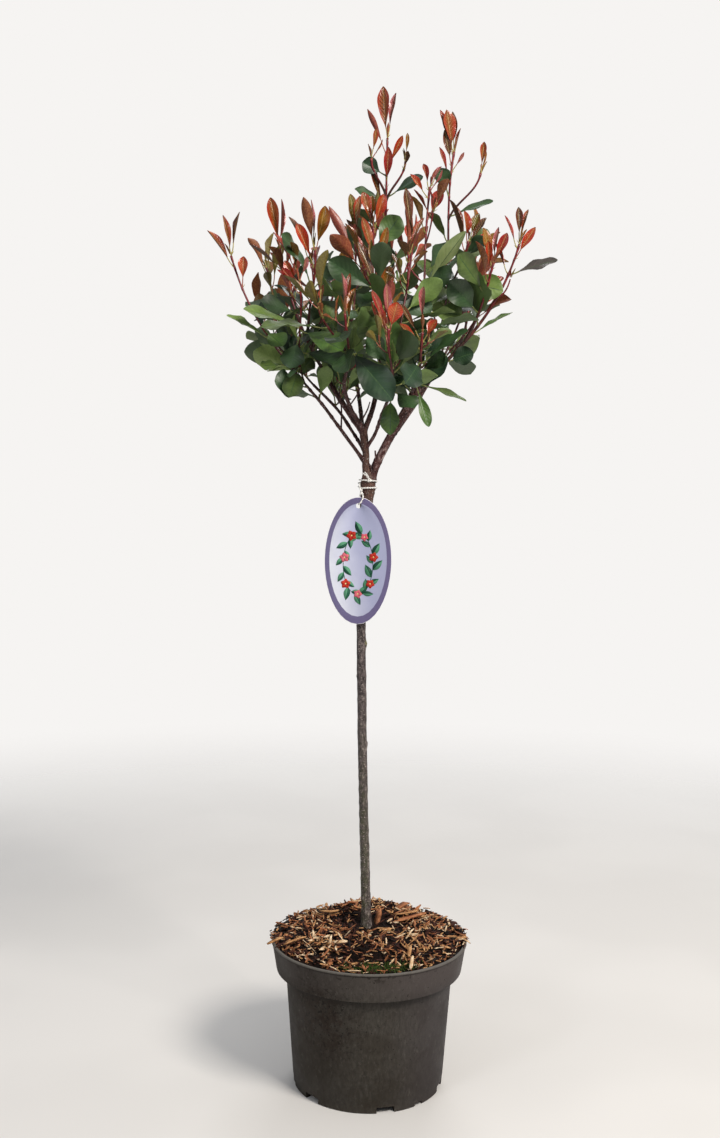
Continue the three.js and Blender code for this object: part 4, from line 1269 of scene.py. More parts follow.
def boughs():
    """The boughs, with the dead stubs and leafless twigs among them."""
    pile = Pile()
    for i, name in enumerate(BOUGHS):
        add_bough(pile, i, name)
    for i, (foot, tip, wide, narrow) in enumerate(TWIGLETS):
        bow = (vec(foot) + vec(tip)) / 2 + vec((1.2, -0.6, 0.8))
        curve = Spline([foot, bow, tip])
        relief = bark_relief(1.6, 0.2, 40 + i)
        add_tube(pile, tube(curve, lambda u: lerp(wide, narrow, u), *TUBES["twiglet"], relief))
    pile.build("bough_bark", [bough_look()], "bark", *["bough_" + name for name in BOUGHS])


# Shoots, by the rule of the part's source

def shoot_curve(start, heading, tip):
    reach = np.linalg.norm(tip - start)
    rise = unit(vec((tip[0] * SHOOT["lean"], tip[1] * SHOOT["lean"], 1)))
    after_start = start + heading * (reach * SHOOT["set_off"])
    return Bezier(start, after_start, tip - rise * (reach * SHOOT["rise"]), tip)


def stem(mass, curve, radii, row, seed, rank):
    """A stem with what it carries. rank is bough, shoot, twig or finer."""
    return {
        "mass": mass, "curve": curve, "radii": radii, "row": row, "seed": seed, "rank": rank, "nodes": [],
    }


def shoots_of(mass, index):
    """The first shoot grows on from the bough's tip, and the others branch from it."""
    path, radii = BOUGHS[mass]
    stems = []
    for i, row in enumerate(MASSES[mass]):
        row["spray"] = SPRAYS.get((mass, i), [])
        tip = vec(row["tip"])
        carrier = stems[0]["curve"] if i else Spline(path)
        start = carrier.point(row["at"])
        heading = carrier.tangent(row["at"])
        if i:
            heading = unit(heading + unit(tip - start))
        else:
            start = start + heading * GAP
        foot = radii[1] * (SHOOT["side_share"] if i else 1)
        curve = shoot_curve(start, heading, tip)
        stems.append(stem(mass, curve, (foot, SHOOT["tip_radius"]), row, index * 10 + i, "shoot"))
    return stems


def side_stem(parent, u, turn, reach, spread, rise):
    """The curve of a side stem: where it leaves its parent, and how far it goes outwards and upwards."""
    tangent = parent["curve"].tangent(u)
    out = out_of(tangent, turn)
    root = parent["curve"].point(u)
    tip = root + out * (reach * spread) + vec((0, 0, reach * rise))
    return shoot_curve(root, unit(out + tangent), tip)


def twigs_of(parent):
    """The short side twigs of a shoot, each with a few young leaves."""
    made = []
    seed = parent["seed"]
    count = parent["row"]["twigs"]
    for k in range(count):
        u = lerp(*TWIG["span"], (k + 0.5) / count)
        turn = math.radians(TURN * k + 360 * chance(seed, 7) + 70)
        curve = side_stem(parent, u, turn, lerp(*TWIG["length"], chance(seed, 8, k)), 0.5, 0.85)
        row = {"old": 0, "young": 2, "size": 1, "shown": (), "spray": ()}
        made.append(stem(parent["mass"], curve, TWIG["radii"], row, seed * 10 + k + 5000, "twig"))
    return made


def finer_of(parent, kind):
    """The finer twigs of one kind on a stem."""
    made = []
    form = FINER[kind]
    base = form["seed"]
    seed = parent["seed"]
    low, high = (parent["curve"].point(u) for u in form["span"])
    count = max(1, round(np.linalg.norm(high - low) / form["every"]))
    for k in range(count):
        u = lerp(*form["span"], (k + 0.15 + 0.7 * chance(seed, base, k)) / count)
        turn = math.radians(TURN * k + 360 * chance(seed, base + 1))
        curve = side_stem(parent, u, turn, lerp(*form["length"], chance(seed, base + 2, k)), 0.6, 0.7)
        size = form["size"] * (0.85 + 0.3 * chance(seed, base + 3, k))
        row = {"old": form["old"], "young": form["young"], "size": size, "shown": (), "spray": ()}
        made.append(stem(parent["mass"], curve, FINER_RADII, row, seed * 100 + k + base * 1000, "finer"))
    return made


# Leaves, by the rule of the part's source

def rule_leaf(parent, kind, share, turn, seed):
    """A leaf by the rule. share is 0 for the stem's lowest leaf of its kind and 1 for its highest."""
    form = LEAVES[kind]
    size = parent["row"]["size"] * (1 + SIZE_SPREAD * (2 * chance(seed, 1) - 1))
    at = lerp(*form["span"], share)
    tangent = parent["curve"].tangent(at)
    out = out_of(tangent, turn)
    spread = math.radians(form["spread"] * lerp(*form["opening"], share) * (0.75 + 0.5 * chance(seed, 2)))
    axis = tangent * math.cos(spread) + out * math.sin(spread)
    face = tangent * math.sin(spread) - out * math.cos(spread)
    roll = math.radians(form["roll"] * (2 * chance(seed, 9) - 1))
    return {
        "kind": kind, "at": at, "seed": seed, "tint": None, "stem": parent,
        "root": parent["curve"].point(at), "axis": axis, "face": turned(face, axis, roll),
        "petiole": form["petiole"] * size, "length": form["length"] * size,
        "width": form["width"] * size * (0.9 + 0.2 * chance(seed, 3)),
        "slim": lerp(*BLADES[kind]["slim"], chance(seed, 15)),
        "curl": math.radians(form["curl"] * (0.3 + 1.4 * chance(seed, 4))),
    }


def shown_leaf(parent, row, seed):
    """A leaf of the outline, which reaches from its place on the stem to its given tip."""
    root = parent["curve"].point(row["at"])
    reach = np.linalg.norm(vec(row["tip"]) - root)
    axis = unit(vec(row["tip"]) - root)
    petiole = min(LEAVES[row["kind"]]["petiole"], reach / 4)
    return {
        "kind": row["kind"], "at": row["at"], "seed": seed, "tint": row["tint"], "stem": parent,
        "root": root, "axis": axis, "face": squared(vec(row["face"]), axis),
        "petiole": petiole, "length": reach - petiole, "width": row["wide"], "slim": 1, "curl": 0.1,
    }


def spray_leaf(parent, row, seed):
    """A young leaf of a spray, from its row in the table."""
    at, tip, wide, tint, turn = row
    face = (math.sin(math.radians(turn)), -math.cos(math.radians(turn)), 0.15)
    return shown_leaf(parent, seen(at, tip, wide, face, "young", tint), seed)


def leaf_spine(leaf, share):
    """The middle line of a leaf at shares of the blade's length, with the upper face's normal there."""
    share = np.atleast_1d(share)[:, None]
    bend = leaf["curl"] * share
    forward = leaf["petiole"] + leaf["length"] * np.sin(bend) / leaf["curl"]
    down = leaf["length"] * (1 - np.cos(bend)) / leaf["curl"]
    points = leaf["root"] + leaf["axis"] * forward - leaf["face"] * down
    return points, leaf["face"] * np.cos(bend) + leaf["axis"] * np.sin(bend)


def leaf_samples(leaf, shares, columns):
    """Points spread over a leaf's blade, which stand for it when leaves are kept apart."""
    shares = vec(shares)
    points, _ = leaf_spine(leaf, shares)
    side = np.cross(leaf["axis"], leaf["face"])
    half = (0.4 * leaf["width"] * np.sin(math.pi * (0.12 + 0.76 * shares)))[:, None]
    return np.concatenate([points + side * half * column for column in columns])


def is_bare(place):
    """Whether a place is where the crown is bare, round the fork or low at its sides."""
    x, _, z = place
    return z < OPEN["below"] or any(x / out > 1 and z < top for out, top in OPEN["sides"])


class Crown:
    """What stands in the crown already: stems, leaves, and the sample points that keep them apart."""

    def __init__(self):
        self.stems = []
        self.leaves = []
        self.rows = []
        self.centres = []
        self.reaches = []
        self.samples = SAMPLES

    def claim(self, mass, owner, points):
        """Takes the room round some points. Only the stem that owns it, if one does, may grow there."""
        centre = points.mean(axis=0)
        self.rows.append((mass, owner, points))
        self.centres.append(centre)
        self.reaches.append(np.linalg.norm(points - centre, axis=1).max())

    def is_free(self, owner, points, clear):
        """Whether points stand clear of all that others have claimed."""
        centre = points.mean(axis=0)
        reach = np.linalg.norm(points - centre, axis=1).max()
        away = np.linalg.norm(np.array(self.centres) - centre, axis=1) - np.array(self.reaches) - reach
        for i in np.nonzero(away <= clear[0])[0]:
            mass, other, theirs = self.rows[i]
            if other is owner:
                continue
            gaps = points[:, None] - theirs[None]
            if (gaps * gaps).sum(axis=2).min() <= clear[mass == owner["mass"]] ** 2:
                return False
        return True

    def keep(self, leaf):
        self.claim(leaf["stem"]["mass"], None, leaf_samples(leaf, *self.samples))
        leaf["stem"]["nodes"].append(leaf["at"])
        self.leaves.append(leaf)

    def place_by_rule(self, parent, kind, clear):
        """The leaves of one kind on one stem. Each is tried round the stem until it finds room."""
        count = parent["row"][kind]
        for k in range(max(0, count - len(parent["row"]["spray"])) if kind == "young" else count):
            key = parent["seed"] * 100 + k + (50 if kind == "old" else 0)
            share = (k + 0.6 * chance(key, 5)) / max(1, count - 0.4)
            start = TURN * k + 360 * chance(parent["seed"], 6)
            for t in range(TRIES):
                leaf = rule_leaf(parent, kind, share, math.radians(start + TRY_TURN * t), key)
                samples = leaf_samples(leaf, *self.samples)
                if not is_bare(samples.mean(axis=0)) and self.is_free(parent, samples, clear):
                    self.keep(leaf)
                    break

    def claim_curve(self, mass, owner, curve):
        self.claim(mass, owner, np.array([curve.point(u) for u in STEM_SAMPLES]))

    def grow(self):
        """The shoots, twigs and leaves of the solids, in the same places."""
        for path in ([row[:3] for row in TRUNK], *[path for path, _ in BOUGHS.values()]):
            self.claim_curve(None, None, Spline(path))
        for index, mass in enumerate(MASSES):
            shoots = shoots_of(mass, index)
            self.stems += shoots + [twig for parent in shoots for twig in twigs_of(parent)]
        for parent in self.stems:
            self.claim_curve(parent["mass"], parent, parent["curve"])
        for parent in self.stems:
            for i, row in enumerate(parent["row"]["shown"]):
                self.keep(shown_leaf(parent, row, parent["seed"] * 100 + 80 + i))
            for i, row in enumerate(parent["row"]["spray"]):
                self.keep(spray_leaf(parent, row, parent["seed"] * 100 + 60 + i))
        for kind in ("young", "old"):
            for parent in self.stems:
                self.place_by_rule(parent, kind, CLEAR)

    def grow_finer(self):
        """The spurs and side twigs that the solids leave out, wherever there is room for them."""
        self.samples = FINER_SAMPLES
        for leaf in self.leaves:
            self.claim(leaf["stem"]["mass"], None, leaf_samples(leaf, *self.samples))
        shoots = [parent for parent in self.stems if parent["rank"] == "shoot"]
        finer = [made for kind in ("side", "spur") for parent in shoots for made in finer_of(parent, kind)]
        for i, (mass, (path, radii)) in enumerate(BOUGHS.items()):
            finer += finer_of(stem(mass, Spline(path), radii, None, 300 + i, "bough"), "bough")
        for parent in finer:
            points = np.array([parent["curve"].point(u) for u in (0.5, 0.75, 1)])
            tip = points[-1]
            is_open = tip[0] > OPEN["right_of"] or tip[2] > OPEN["above"] or is_bare(tip)
            if not is_open and self.is_free(parent, points, FINER_CLEAR):
                self.claim(parent["mass"], parent, points)
                self.stems.append(parent)
                for kind in ("young", "old"):
                    self.place_by_rule(parent, kind, FINER_CLEAR)


# What grows, as meshes

def blade_rows():
    """Where a blade's rows stand along it, closer together towards both ends."""
    t = np.linspace(0.01, 0.985, BLADE_ROWS)
    return 0.2 * t + 0.4 * (1 - np.cos(math.pi * t))


def blade_faces():
    """The faces of every blade, the part that each belongs to, and the points of the margin.

    The parts are 0 for the upper face, 1 for the rib and 2 for the underside.
    """
    n, m, q = BLADE_ROWS, len(UPPER_COLUMNS), len(UNDER_COLUMNS)
    tip = n * (m + q)
    faces = grid_faces(n, m)
    faces += [((n - 1) * m + c, (n - 1) * m + c + 1, tip) for c in range(m - 1)]
    lower = [[r * m, *range(n * m + r * q, n * m + r * q + q), r * m + m - 1] for r in range(n)]
    for r in range(n - 1):
        for c in range(q + 1):
            faces.append((lower[r][c], lower[r + 1][c], lower[r + 1][c + 1], lower[r][c + 1]))
    faces += [(lower[-1][c + 1], lower[-1][c], tip) for c in range(q + 1)]
    faces.append((*reversed(range(m)), *lower[0][1:-1]))
    parts = [int(c == m // 2 - 1) for c in range(m - 1)] * n + [2] * (n * (q + 1) + 1)
    margin = [r * m + c for r in range(n) for c in (0, m - 1)] + [tip]
    return faces, parts, margin


ROWS = blade_rows()
BLADE_FACES, BLADE_PARTS, BLADE_MARGIN = blade_faces()
BLADE_UVS = [(0.5 + c / 2, s) for columns in (UPPER_COLUMNS, UNDER_COLUMNS) for s in ROWS for c in columns]
BLADE_UVS.append((0.5, 1))
GROOVE = np.where(np.abs(vec(UPPER_COLUMNS)) < 0.1, RIB_GROOVE, 0)[None, :]


def add_blade(pile, leaf, names):
    """One leaf's blade: a folded, waved upper face with its rib, and an underside that shares its margin."""
    form = BLADES[leaf["kind"]]
    vary = [chance(leaf["seed"], key) for key in range(11, 17)]
    twist = math.radians(BLADE_TWIST * (vary[2] - 0.5))
    shares = lerp(form["start"], 1, ROWS)
    spine, normal = leaf_spine(leaf, shares)
    side = np.cross(leaf["axis"], leaf["face"])
    angle = (twist * shares)[:, None]
    across = side * np.cos(angle) + normal * np.sin(angle)
    up = normal * np.cos(angle) - side * np.sin(angle)
    half = np.sin(math.pi * ROWS ** lerp(*form["skew"], vary[3])) ** form["blunt"]
    half = np.maximum(0.5 * leaf["width"] * leaf["slim"] * half, form["stalk"] * 0.8)
    folds = math.radians(lerp(*form["fold"], vary[0])) * (1.2 - 0.5 * ROWS)
    waves = 2 * math.pi * (lerp(*BLADE_WAVES, vary[1]) * ROWS[:, None] + vary[5])

    def sheet(columns, drop):
        c = vec(columns)[None, :]
        out = c * (half * np.cos(folds))[:, None]
        ripple = np.sin(waves + 1.1 * np.sign(c)) * c * c
        lift = np.abs(c) ** 1.15 * np.sin(folds)[:, None] + 2 * form["wave"] * ripple
        lift = lift * half[:, None] - drop
        points = spine[:, None] + across[:, None] * out[..., None] + up[:, None] * lift[..., None]
        return points.reshape(-1, 3)

    rib = np.where(vec(UNDER_COLUMNS) == 0, form["rib"], 0)[None, :] * (1.1 - ROWS)[:, None]
    end = leaf_spine(leaf, 1)[0]
    points = np.concatenate([sheet(UPPER_COLUMNS, GROOVE), sheet(UNDER_COLUMNS, form["thick"] + rib), end])
    upper = names.index(tint_of(leaf))
    part_looks = (upper, 2 * len(names), len(names) + upper)
    pile.add(points, BLADE_FACES, [part_looks[part] for part in BLADE_PARTS], BLADE_UVS, BLADE_MARGIN)


def tint_of(leaf):
    """A leaf's tint: the one given, the spray's own, or for two leaves in five another."""
    if leaf["tint"]:
        return leaf["tint"]
    tints = TINTS[leaf["kind"]]
    key = leaf["seed"] if chance(leaf["seed"], 21) > 0.6 else leaf["stem"]["seed"]
    return tints[int(chance(key, 22) * len(tints))]


def add_petiole(pile, leaf):
    """The stalk from the stem to the blade, thickened where it leaves the stem."""
    form = BLADES[leaf["kind"]]
    base = leaf_spine(leaf, form["start"] + 0.02)[0][0] - leaf["face"] * form["thick"]
    bow = (leaf["root"] + base) / 2 - leaf["face"] * (0.05 * np.linalg.norm(base - leaf["root"]))
    curve = Spline([leaf["root"], bow, base])
    rings = tube(curve, lambda u: form["stalk"] * (1.35 - 0.5 * min(1, 2.2 * u)), *TUBES["petiole"])
    add_tube(pile, rings, 0 if leaf["kind"] == "old" else 1 + int(2 * chance(leaf["seed"], 23)))


def add_stipules(pile, leaf):
    """A pair of slender pointed stipules where a young leaf leaves its stem."""
    ahead, aside, out = STIPULE["way"]
    for hand in (-1, 1):
        side = np.cross(leaf["axis"], leaf["face"]) * hand
        foot = leaf["root"] + leaf["axis"] * STIPULE["along"]
        length = lerp(*STIPULE["length"], chance(leaf["seed"], 25 + hand))
        tip = foot + unit(leaf["axis"] * ahead + side * aside + leaf["face"] * out) * length
        curve = Spline([foot, (foot + tip) / 2 + side * STIPULE["bow"], tip])
        add_tube(pile, tube(curve, lambda u: STIPULE["radius"] * (1.05 - u) + 0.05, *TUBES["stipule"]), 1)


def add_stem(pile, parent):
    """A stem's tube, swelling where each leaf leaves it, brown at its foot and crimson at its tip."""
    curve = parent["curve"]
    length = np.linalg.norm(curve.point(1) - curve.point(0))
    sides, step = TUBES["stem"]
    steps = max(6, int(length / step))

    def radius(u):
        knuckles = sum(swelling("stem", (u - at) * length) for at in parent["nodes"])
        return lerp(*parent["radii"], u ** 0.8) * 0.8 + knuckles

    rings = tube(curve, radius, sides, steps, bark_relief(1.2, 0.1, parent["seed"] % 50))
    foot = {"shoot": 0.0, "twig": 0.7, "finer": 0.35}[parent["rank"]]
    last = len(SHOOT_COLOURS) - 1
    looks = [min(last, int(len(SHOOT_COLOURS) * lerp(foot, 1.1, r / steps))) for r in range(steps + 1)]
    add_tube(pile, rings, looks)


def furled_of(parent):
    """The two furled leaves at a stem's tip."""
    tangent = parent["curve"].tangent(1)
    made = []
    for k in range(2):
        seed = parent["seed"] * 100 + 90 + k
        out = out_of(tangent, math.radians(180 * k + 360 * chance(seed, 41)))
        spread = math.radians(lerp(*FURLED["spread"], chance(seed, 42)))
        length = lerp(*FURLED["length"], chance(seed, 43)) * (0.5 + 0.5 * parent["row"]["size"])
        made.append({
            "kind": "young", "seed": seed, "tint": None, "stem": parent,
            "root": parent["curve"].point(1) - tangent * FURLED["sunk"],
            "axis": tangent * math.cos(spread) + out * math.sin(spread),
            "face": tangent * math.sin(spread) - out * math.cos(spread),
            "petiole": FURLED["petiole"], "length": length, "width": length * FURLED["width"],
            "slim": FURLED["slim"], "curl": FURLED["curl"],
        })
    return made


# The skin of stems from foot to tip, and of the stalks of old leaves and of two kinds of young ones: name,
# dark and light colour, and roughness.
SHOOT_COLOURS = [
    ("shoot_brown", "#2a1512", "#4b2a20", 0.5),
    ("shoot_russet", "#38130f", "#5c241c", 0.45),
    ("shoot_maroon", "#471215", "#6f2025", 0.4),
    ("shoot_crimson", "#5c161b", "#8f3034", 0.36),
]
STALK_COLOURS = [
    ("petiole_green", "#68763c", "#8b8c50"),
    ("petiole_lime", "#978b45", "#b6a862"),
    ("petiole_rose", "#94453c", "#b37055"),
]


def foliage():
    """All shoots, twigs and leaves, joined into one piece for each kind."""
    crown = Crown()
    crown.grow()
    crown.grow_finer()
    masses = ["foliage_" + name for name in MASSES]
    shoots = Pile()
    for parent in crown.stems:
        add_stem(shoots, parent)
    shoots.build("shoots", [stem_look(*row) for row in SHOOT_COLOURS], "bark", *masses)
    stalks = Pile()
    for leaf in crown.leaves:
        add_petiole(stalks, leaf)
        if leaf["kind"] == "young":
            add_stipules(stalks, leaf)
    stalks.build("petioles", [stem_look(*row) for row in STALK_COLOURS], "foliage", *masses)
    furled = [leaf for parent in crown.stems if parent["row"]["young"] for leaf in furled_of(parent)]
    for kind in LEAF_COLOURS:
        blades = Pile()
        for leaf in crown.leaves + furled:
            if leaf["kind"] == kind:
                add_blade(blades, leaf, list(LEAF_COLOURS[kind]))
        blades.build("leaves_" + kind, leaf_looks(kind), "foliage", *masses)
    print(len(crown.stems), "stems,", len(crown.leaves), "leaves,", len(furled), "furled leaves")


# Tag and string

def card_point(p, q, lift):
    """A place on the card: p across, q up from its middle, and lift forward from its back."""
    x, y, z = TAG["centre"]
    return (x + p, y - lift + TAG["bow"] * (p / (TAG["width"] / 2)) ** 2, z + q)


def ray_to_ellipse(origin, direction, a, b, middle=0.0):
    """How far a ray from inside an upright ellipse goes to its edge. middle is the ellipse's height."""
    ox, oz = origin[0] / a, (origin[1] - middle) / b
    dx, dz = direction[0] / a, direction[1] / b
    k = dx * dx + dz * dz
    h = ox * dx + oz * dz
    return (-h + math.sqrt(h * h - k * (ox * ox + oz * oz - 1))) / k


# The card's colours, at its left and at its right and top, where the darker ones are painted shade.
INKS = {
    "card_field": ("#e6eaf4", "#9fa3c0"),
    "card_border": ("#736d92", "#676084"),
    "card_edge": ("#f4f3f7", "#e9e7f0"),
    "print_green": ("#2f6c52", "#204b3a"),
    "print_mint": ("#6dac88", "#4f8a6a"),
    "print_red": ("#d63c2c", "#b23024"),
    "print_pink": ("#e6808e", "#cd5c6a"),
    "print_cream": ("#f3e3a8", "#e6cf88"),
}


def ink(name):
    """The place of a colour among the card's materials."""
    return list(INKS).index(name)


def card(pile):
    """The oval card with its punched hole: a printed border and field in front and a bare back."""
    half_w, half_h = TAG["width"] / 2, TAG["height"] / 2
    side, top, bottom = TAG["border"]
    hole = (0, half_h - TAG["hole_below_top"])
    thick = TAG["thick"]
    sides = TAG["sides"]
    rings = []
    for turn in turns_of(sides):
        way = (math.cos(turn), -math.sin(turn))
        outer = ray_to_ellipse(hole, way, half_w, half_h)
        inner = ray_to_ellipse(hole, way, half_w - side, half_h - (top + bottom) / 2, (bottom - top) / 2)
        inner = max(inner, TAG["hole"] + 0.1)
        reaches = (TAG["hole"], inner, outer - TAG["bevel"][0], outer, outer, TAG["hole"])
        lifts = (thick, thick, thick, thick - TAG["bevel"][1], 0, 0)
        places = [(hole[0] + way[0] * r, hole[1] + way[1] * r) for r in reaches]
        rings.append([card_point(*place, lift) for place, lift in zip(places, lifts)])
    faces = grid_faces(6, sides, closed=True)
    faces += [(5 * sides + k, 5 * sides + (k + 1) % sides, (k + 1) % sides, k) for k in range(sides)]
    parts = ["card_field", "card_border", *["card_edge"] * 4]
    looks = [ink(part) for part in parts for _ in range(sides)]
    pile.add(np.array(rings).transpose(1, 0, 2), faces, looks, None, range(6 * sides))


def leaf_halves(foot, tip, width, count=9):
    """The outlines of a plain leaf's two halves, between two places on the tag."""
    foot, tip = vec(foot), vec(tip)
    along = tip - foot
    across = unit(vec((-along[1], along[0]))) * width / 2
    shares = [k / count for k in range(count + 1)]
    right, left = ([foot + along * s + across * hand * math.sin(math.pi * s ** 0.85) for s in shares]
                   for hand in (-1, 1))
    return [right, left[::-1]]


# How far the prints stand out of the card, so that prints that overlap aren't in one plane. sunk is how far
# their undersides lie in it.
LIFTS = {"sunk": 0.05, "twig": 0.02, "leaf": 0.04, "petal": 0.16, "eye": 0.2, "step": 0.004}


def add_print(pile, outline, lift, look):
    """A flat printed shape, a hair proud of the card."""
    n = len(outline)
    points = [card_point(p, q, TAG["thick"] - LIFTS["sunk"]) for p, q in outline]
    points += [card_point(p, q, TAG["thick"] + lift) for p, q in outline]
    faces = [(i, (i + 1) % n, n + (i + 1) % n, n + i) for i in range(n)]
    faces += [tuple(range(n - 1, -1, -1)), tuple(range(n, 2 * n))]
    pile.add(points, faces, look, None, range(2 * n))


WREATH = {
    "middle": -3, "radii": (14, 29), "twig": 0.3, "steps": 72, "leaves": 24, "leaf": (12.5, 6),
    "blossoms": 7, "petals": 5, "petal": 4.6, "eye": 0.75,
}


def on_wreath(turn, grow=0.0):
    a, b = WREATH["radii"]
    return vec(((a + grow) * math.cos(turn), WREATH["middle"] + (b + grow) * math.sin(turn)))


def wreath(pile):
    """The printed wreath: leaves to both sides of a thin twig, and five-petalled blossoms."""
    turns = [*turns_of(WREATH["steps"]), 0]
    half = WREATH["twig"]
    for t0, t1 in zip(turns, turns[1:]):
        edges = ((t0, half), (t1, half), (t1, -half), (t0, -half))
        add_print(pile, [on_wreath(turn, side) for turn, side in edges], LIFTS["twig"], ink("print_green"))
    length, width = WREATH["leaf"]
    for k in range(WREATH["leaves"]):
        turn = 2 * math.pi * (k + 0.3 * chance(k, 60)) / WREATH["leaves"]
        foot = on_wreath(turn)
        ahead = unit(on_wreath(turn + 0.01) - foot)
        outward = vec((ahead[1], -ahead[0])) * (1 if k % 2 else -1)
        share = 0.8 + 0.35 * chance(k, 61)
        halves = leaf_halves(foot, foot + unit(ahead + 0.8 * outward) * length * share, width * share)
        for hand, outline in enumerate(halves):
            green = ("print_green", "print_mint")[(hand + k) % 2]
            add_print(pile, outline, LIFTS["leaf"] + LIFTS["step"] * k, ink(green))
    for k in range(WREATH["blossoms"]):
        middle = on_wreath(2 * math.pi * (k + 0.25) / WREATH["blossoms"], 0.8 - 1.6 * (k % 2))
        petal = WREATH["petal"] * (0.85 + 0.3 * chance(k, 62))
        red = ("print_red", "print_pink")[k % 2]
        for i, turn in enumerate(turns_of(WREATH["petals"])):
            end = middle + petal * vec((math.cos(turn + k), math.sin(turn + k)))
            for outline in leaf_halves(middle, end, 0.85 * petal):
                add_print(pile, outline, LIFTS["petal"] + LIFTS["step"] * i, ink(red))
        eye = [middle + WREATH["eye"] * vec((math.cos(turn), math.sin(turn))) for turn in turns_of(12)]
        add_print(pile, eye, LIFTS["eye"], ink("print_cream"))


def tag():
    """The oval card with its printed border, pale field and wreath."""
    pile = Pile()
    card(pile)
    wreath(pile)
    looks = [card_look(name, *colours) for name, colours in INKS.items()]
    pile.build("tag_card", looks, "tag_card", "tag")


def string_loop(start, end, low, high):
    """One turn of the string round the trunk, between two angles and two heights."""
    cx, cy = STRING["loop_axis"]
    reach = STRING["loop_radius"]
    points = []
    for i in range(STRING["loop_points"]):
        share = i / (STRING["loop_points"] - 1)
        turn = math.radians(lerp(start, end, share))
        points.append((cx + reach * math.sin(turn), cy - reach * math.cos(turn), lerp(low, high, share)))
    return points


def string_path():
    """The string's way: the upper loop, the strand through the tag's hole, and the lower loop."""
    x, back = TAG["centre"][:2]
    front = back - TAG["thick"]
    top = TAG["centre"][2] + TAG["height"] / 2
    clear = STRING["radius"] + GAP
    bend = top - TAG["hole_below_top"] + TAG["hole"] - clear
    down = [
        (x + 0.8, front + 3.6, top + 9), (x + 2.9, front + 0.6, top + 5), (x + 4, front - clear, top + 1),
        (x + 3.4, front - clear - 0.2, top - 2), (x + 1.4, front - clear - 0.1, bend + 1),
    ]
    through = [
        (x + 0.2, front - 0.2, bend + 0.1), (x, (front + back) / 2, bend - 0.2),
        (x, back + clear - 0.4, bend + 0.4),
    ]
    up = [
        (x, back + clear + 0.2, bend + 2), (x + 0.3, back + clear + 0.2, top - 1),
        (x + 2.8, back + 3.9, top + 6),
    ]
    return [*string_loop(*STRING["upper"]), *down, *through, *up, *string_loop(*STRING["lower"])]


def add_twine(pile, points, steps):
    """Two plies twisted round each other along a curve through the points."""
    curve = Spline(points)
    ply = STRING["radius"] * STRING["ply"]
    for hand in (0, math.pi):
        strand = []
        e1 = vec((1, 0, 0.2))
        for i in range(steps + 1):
            tangent = curve.tangent(i / steps)
            e1 = squared(e1, tangent)
            turn = hand + STRING["pitch"] * i
            side = e1 * math.cos(turn) + np.cross(tangent, e1) * math.sin(turn)
            strand.append(curve.point(i / steps) + side * ply * 0.8)
        add_tube(pile, tube(Spline(strand), lambda u: ply, 7, 2 * steps))


def knot_point(t):
    """A place on the knot, a trefoil, from its middle. t runs once round it, in radians."""
    reach = 1.0 + 0.45 * math.cos(3 * t)
    return vec((reach * math.cos(2 * t), -0.3 + 0.6 * math.sin(3 * t), reach * math.sin(2 * t)))


def string():
    """The twisted cotton string, its knot and the two ends that stick out of it."""
    pile = Pile()
    add_twine(pile, string_path(), STRING["steps"])
    turn, height = STRING["knot"]
    knot = vec(string_loop(turn, 360, height, 0)[0])
    add_twine(pile, [knot + knot_point(t) for t in [*turns_of(24), 2 * math.pi]], 44)
    for tip in STRING["ends"]:
        add_twine(pile, [knot, knot + vec(tip) * 0.5 + vec((0.4, -1.2, 0.9)), knot + vec(tip)], 16)
    pile.build("tag_twine", [string_look()], "string", "tag_string")


# Floor, lights and camera

FLOOR = {"reach": 2000, "fade": (1900, 600), "rings": 24, "first_ring": 0.02, "sides": 96}


def floor():
    """A plain pale floor that fades into the backdrop towards its edge."""
    look = Look("floor", Roughness=0.9, Specular_IOR_Level=0.1)
    look.coat(look.noise(3, 2), 0.4, 0.6, "#dcdad7", "#e0dedb")
    look.feed(look.shader.inputs["Alpha"], look.near((0, 0, 0), *FLOOR["fade"]))
    reach = FLOOR["reach"] * MM
    points, faces = disc(FLOOR["rings"], FLOOR["sides"], reach, FLOOR["first_ring"], lambda x, y: 0)
    mesh = bpy.data.meshes.new("floor")
    mesh.from_pydata(points, [], faces)
    mesh.materials.append(look.finish())
    new_object("floor", mesh)


# Each lamp: name, place in metres, size in metres, power in watts and colour.
LAMPS = [
    ("key", (1.1, -1.3, 1.9), 0.7, 50, "#fff8ef"),
    ("window", (-1.2, -1.5, 1.5), 0.4, 6, "#f4f7ff"),
    ("rim", (0.3, 1.6, 1.9), 1.0, 14, "#ffffff"),
]
AIM = (0, 0, 0.6)


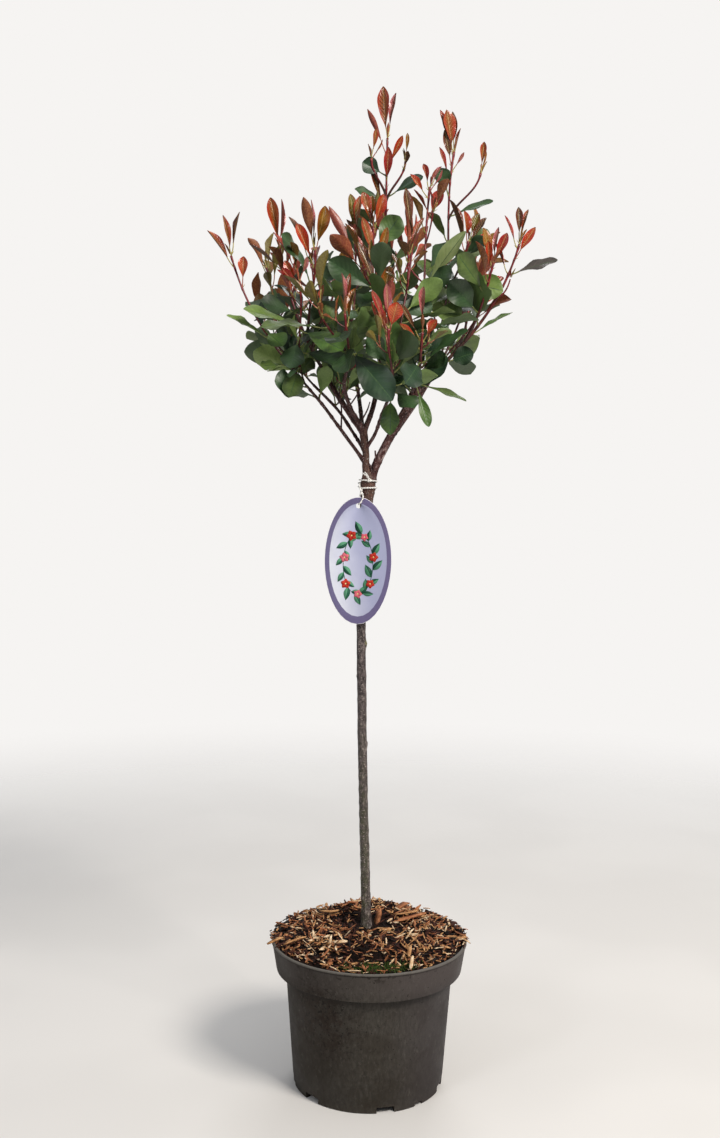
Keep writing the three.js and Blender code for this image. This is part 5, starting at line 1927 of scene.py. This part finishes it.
def world():
    """A white backdrop for the camera, and a softer dome of light, brighter above, for the plant."""
    made = bpy.data.worlds.new("studio")
    bpy.context.scene.world = made
    made.use_nodes = True
    nodes, links = made.node_tree.nodes, made.node_tree.links
    backdrop = nodes["Background"]
    backdrop.inputs["Color"].default_value = linear("#f6f4f2")
    dome = nodes.new("ShaderNodeBackground")
    dome.inputs["Color"].default_value = linear("#f7f8fb")
    place = nodes.new("ShaderNodeTexCoord")
    split = nodes.new("ShaderNodeSeparateXYZ")
    climb = nodes.new("ShaderNodeMapRange")
    for key, value in {"From Min": -0.2, "From Max": 0.9, "To Min": 0.13, "To Max": 0.5}.items():
        climb.inputs[key].default_value = value
    path = nodes.new("ShaderNodeLightPath")
    mix = nodes.new("ShaderNodeMixShader")
    links.new(place.outputs["Generated"], split.inputs[0])
    links.new(split.outputs[2], climb.inputs["Value"])
    links.new(climb.outputs[0], dome.inputs["Strength"])
    links.new(path.outputs["Is Camera Ray"], mix.inputs[0])
    links.new(dome.outputs[0], mix.inputs[1])
    links.new(backdrop.outputs[0], mix.inputs[2])
    links.new(mix.outputs[0], nodes["World Output"].inputs[0])


def lights():
    for name, place, size, power, colour in LAMPS:
        lamp = bpy.data.lights.new(name, "AREA")
        lamp.size = size
        lamp.energy = power
        lamp.color = linear(colour)[:3]
        made = new_object(name, lamp)
        made.location = place
        made.rotation_euler = (Vector(AIM) - Vector(place)).to_track_quat("-Z", "Y").to_euler()


CAMERA = {"place": (-0.0126, -1.18, 0.574), "pitch": 3.66, "roll": 0.6, "lens": 39.23}  # metres and degrees


def camera():
    """The photograph's own point of view: level with the boughs, looking slightly down."""
    data = bpy.data.cameras.new("camera")
    data.lens = CAMERA["lens"]
    made = new_object("camera", data)
    pitch = Matrix.Rotation(math.radians(90 - CAMERA["pitch"]), 4, "X")
    roll = Matrix.Rotation(math.radians(CAMERA["roll"]), 4, "Z")
    made.matrix_world = Matrix.Translation(CAMERA["place"]) @ pitch @ roll
    bpy.context.scene.camera = made


bpy.context.scene.view_settings.view_transform = "Standard"
camera()
world()
lights()
floor()
pot()
mulch()
chips()
moss()
trunk()
boughs()
foliage()
tag()
string()
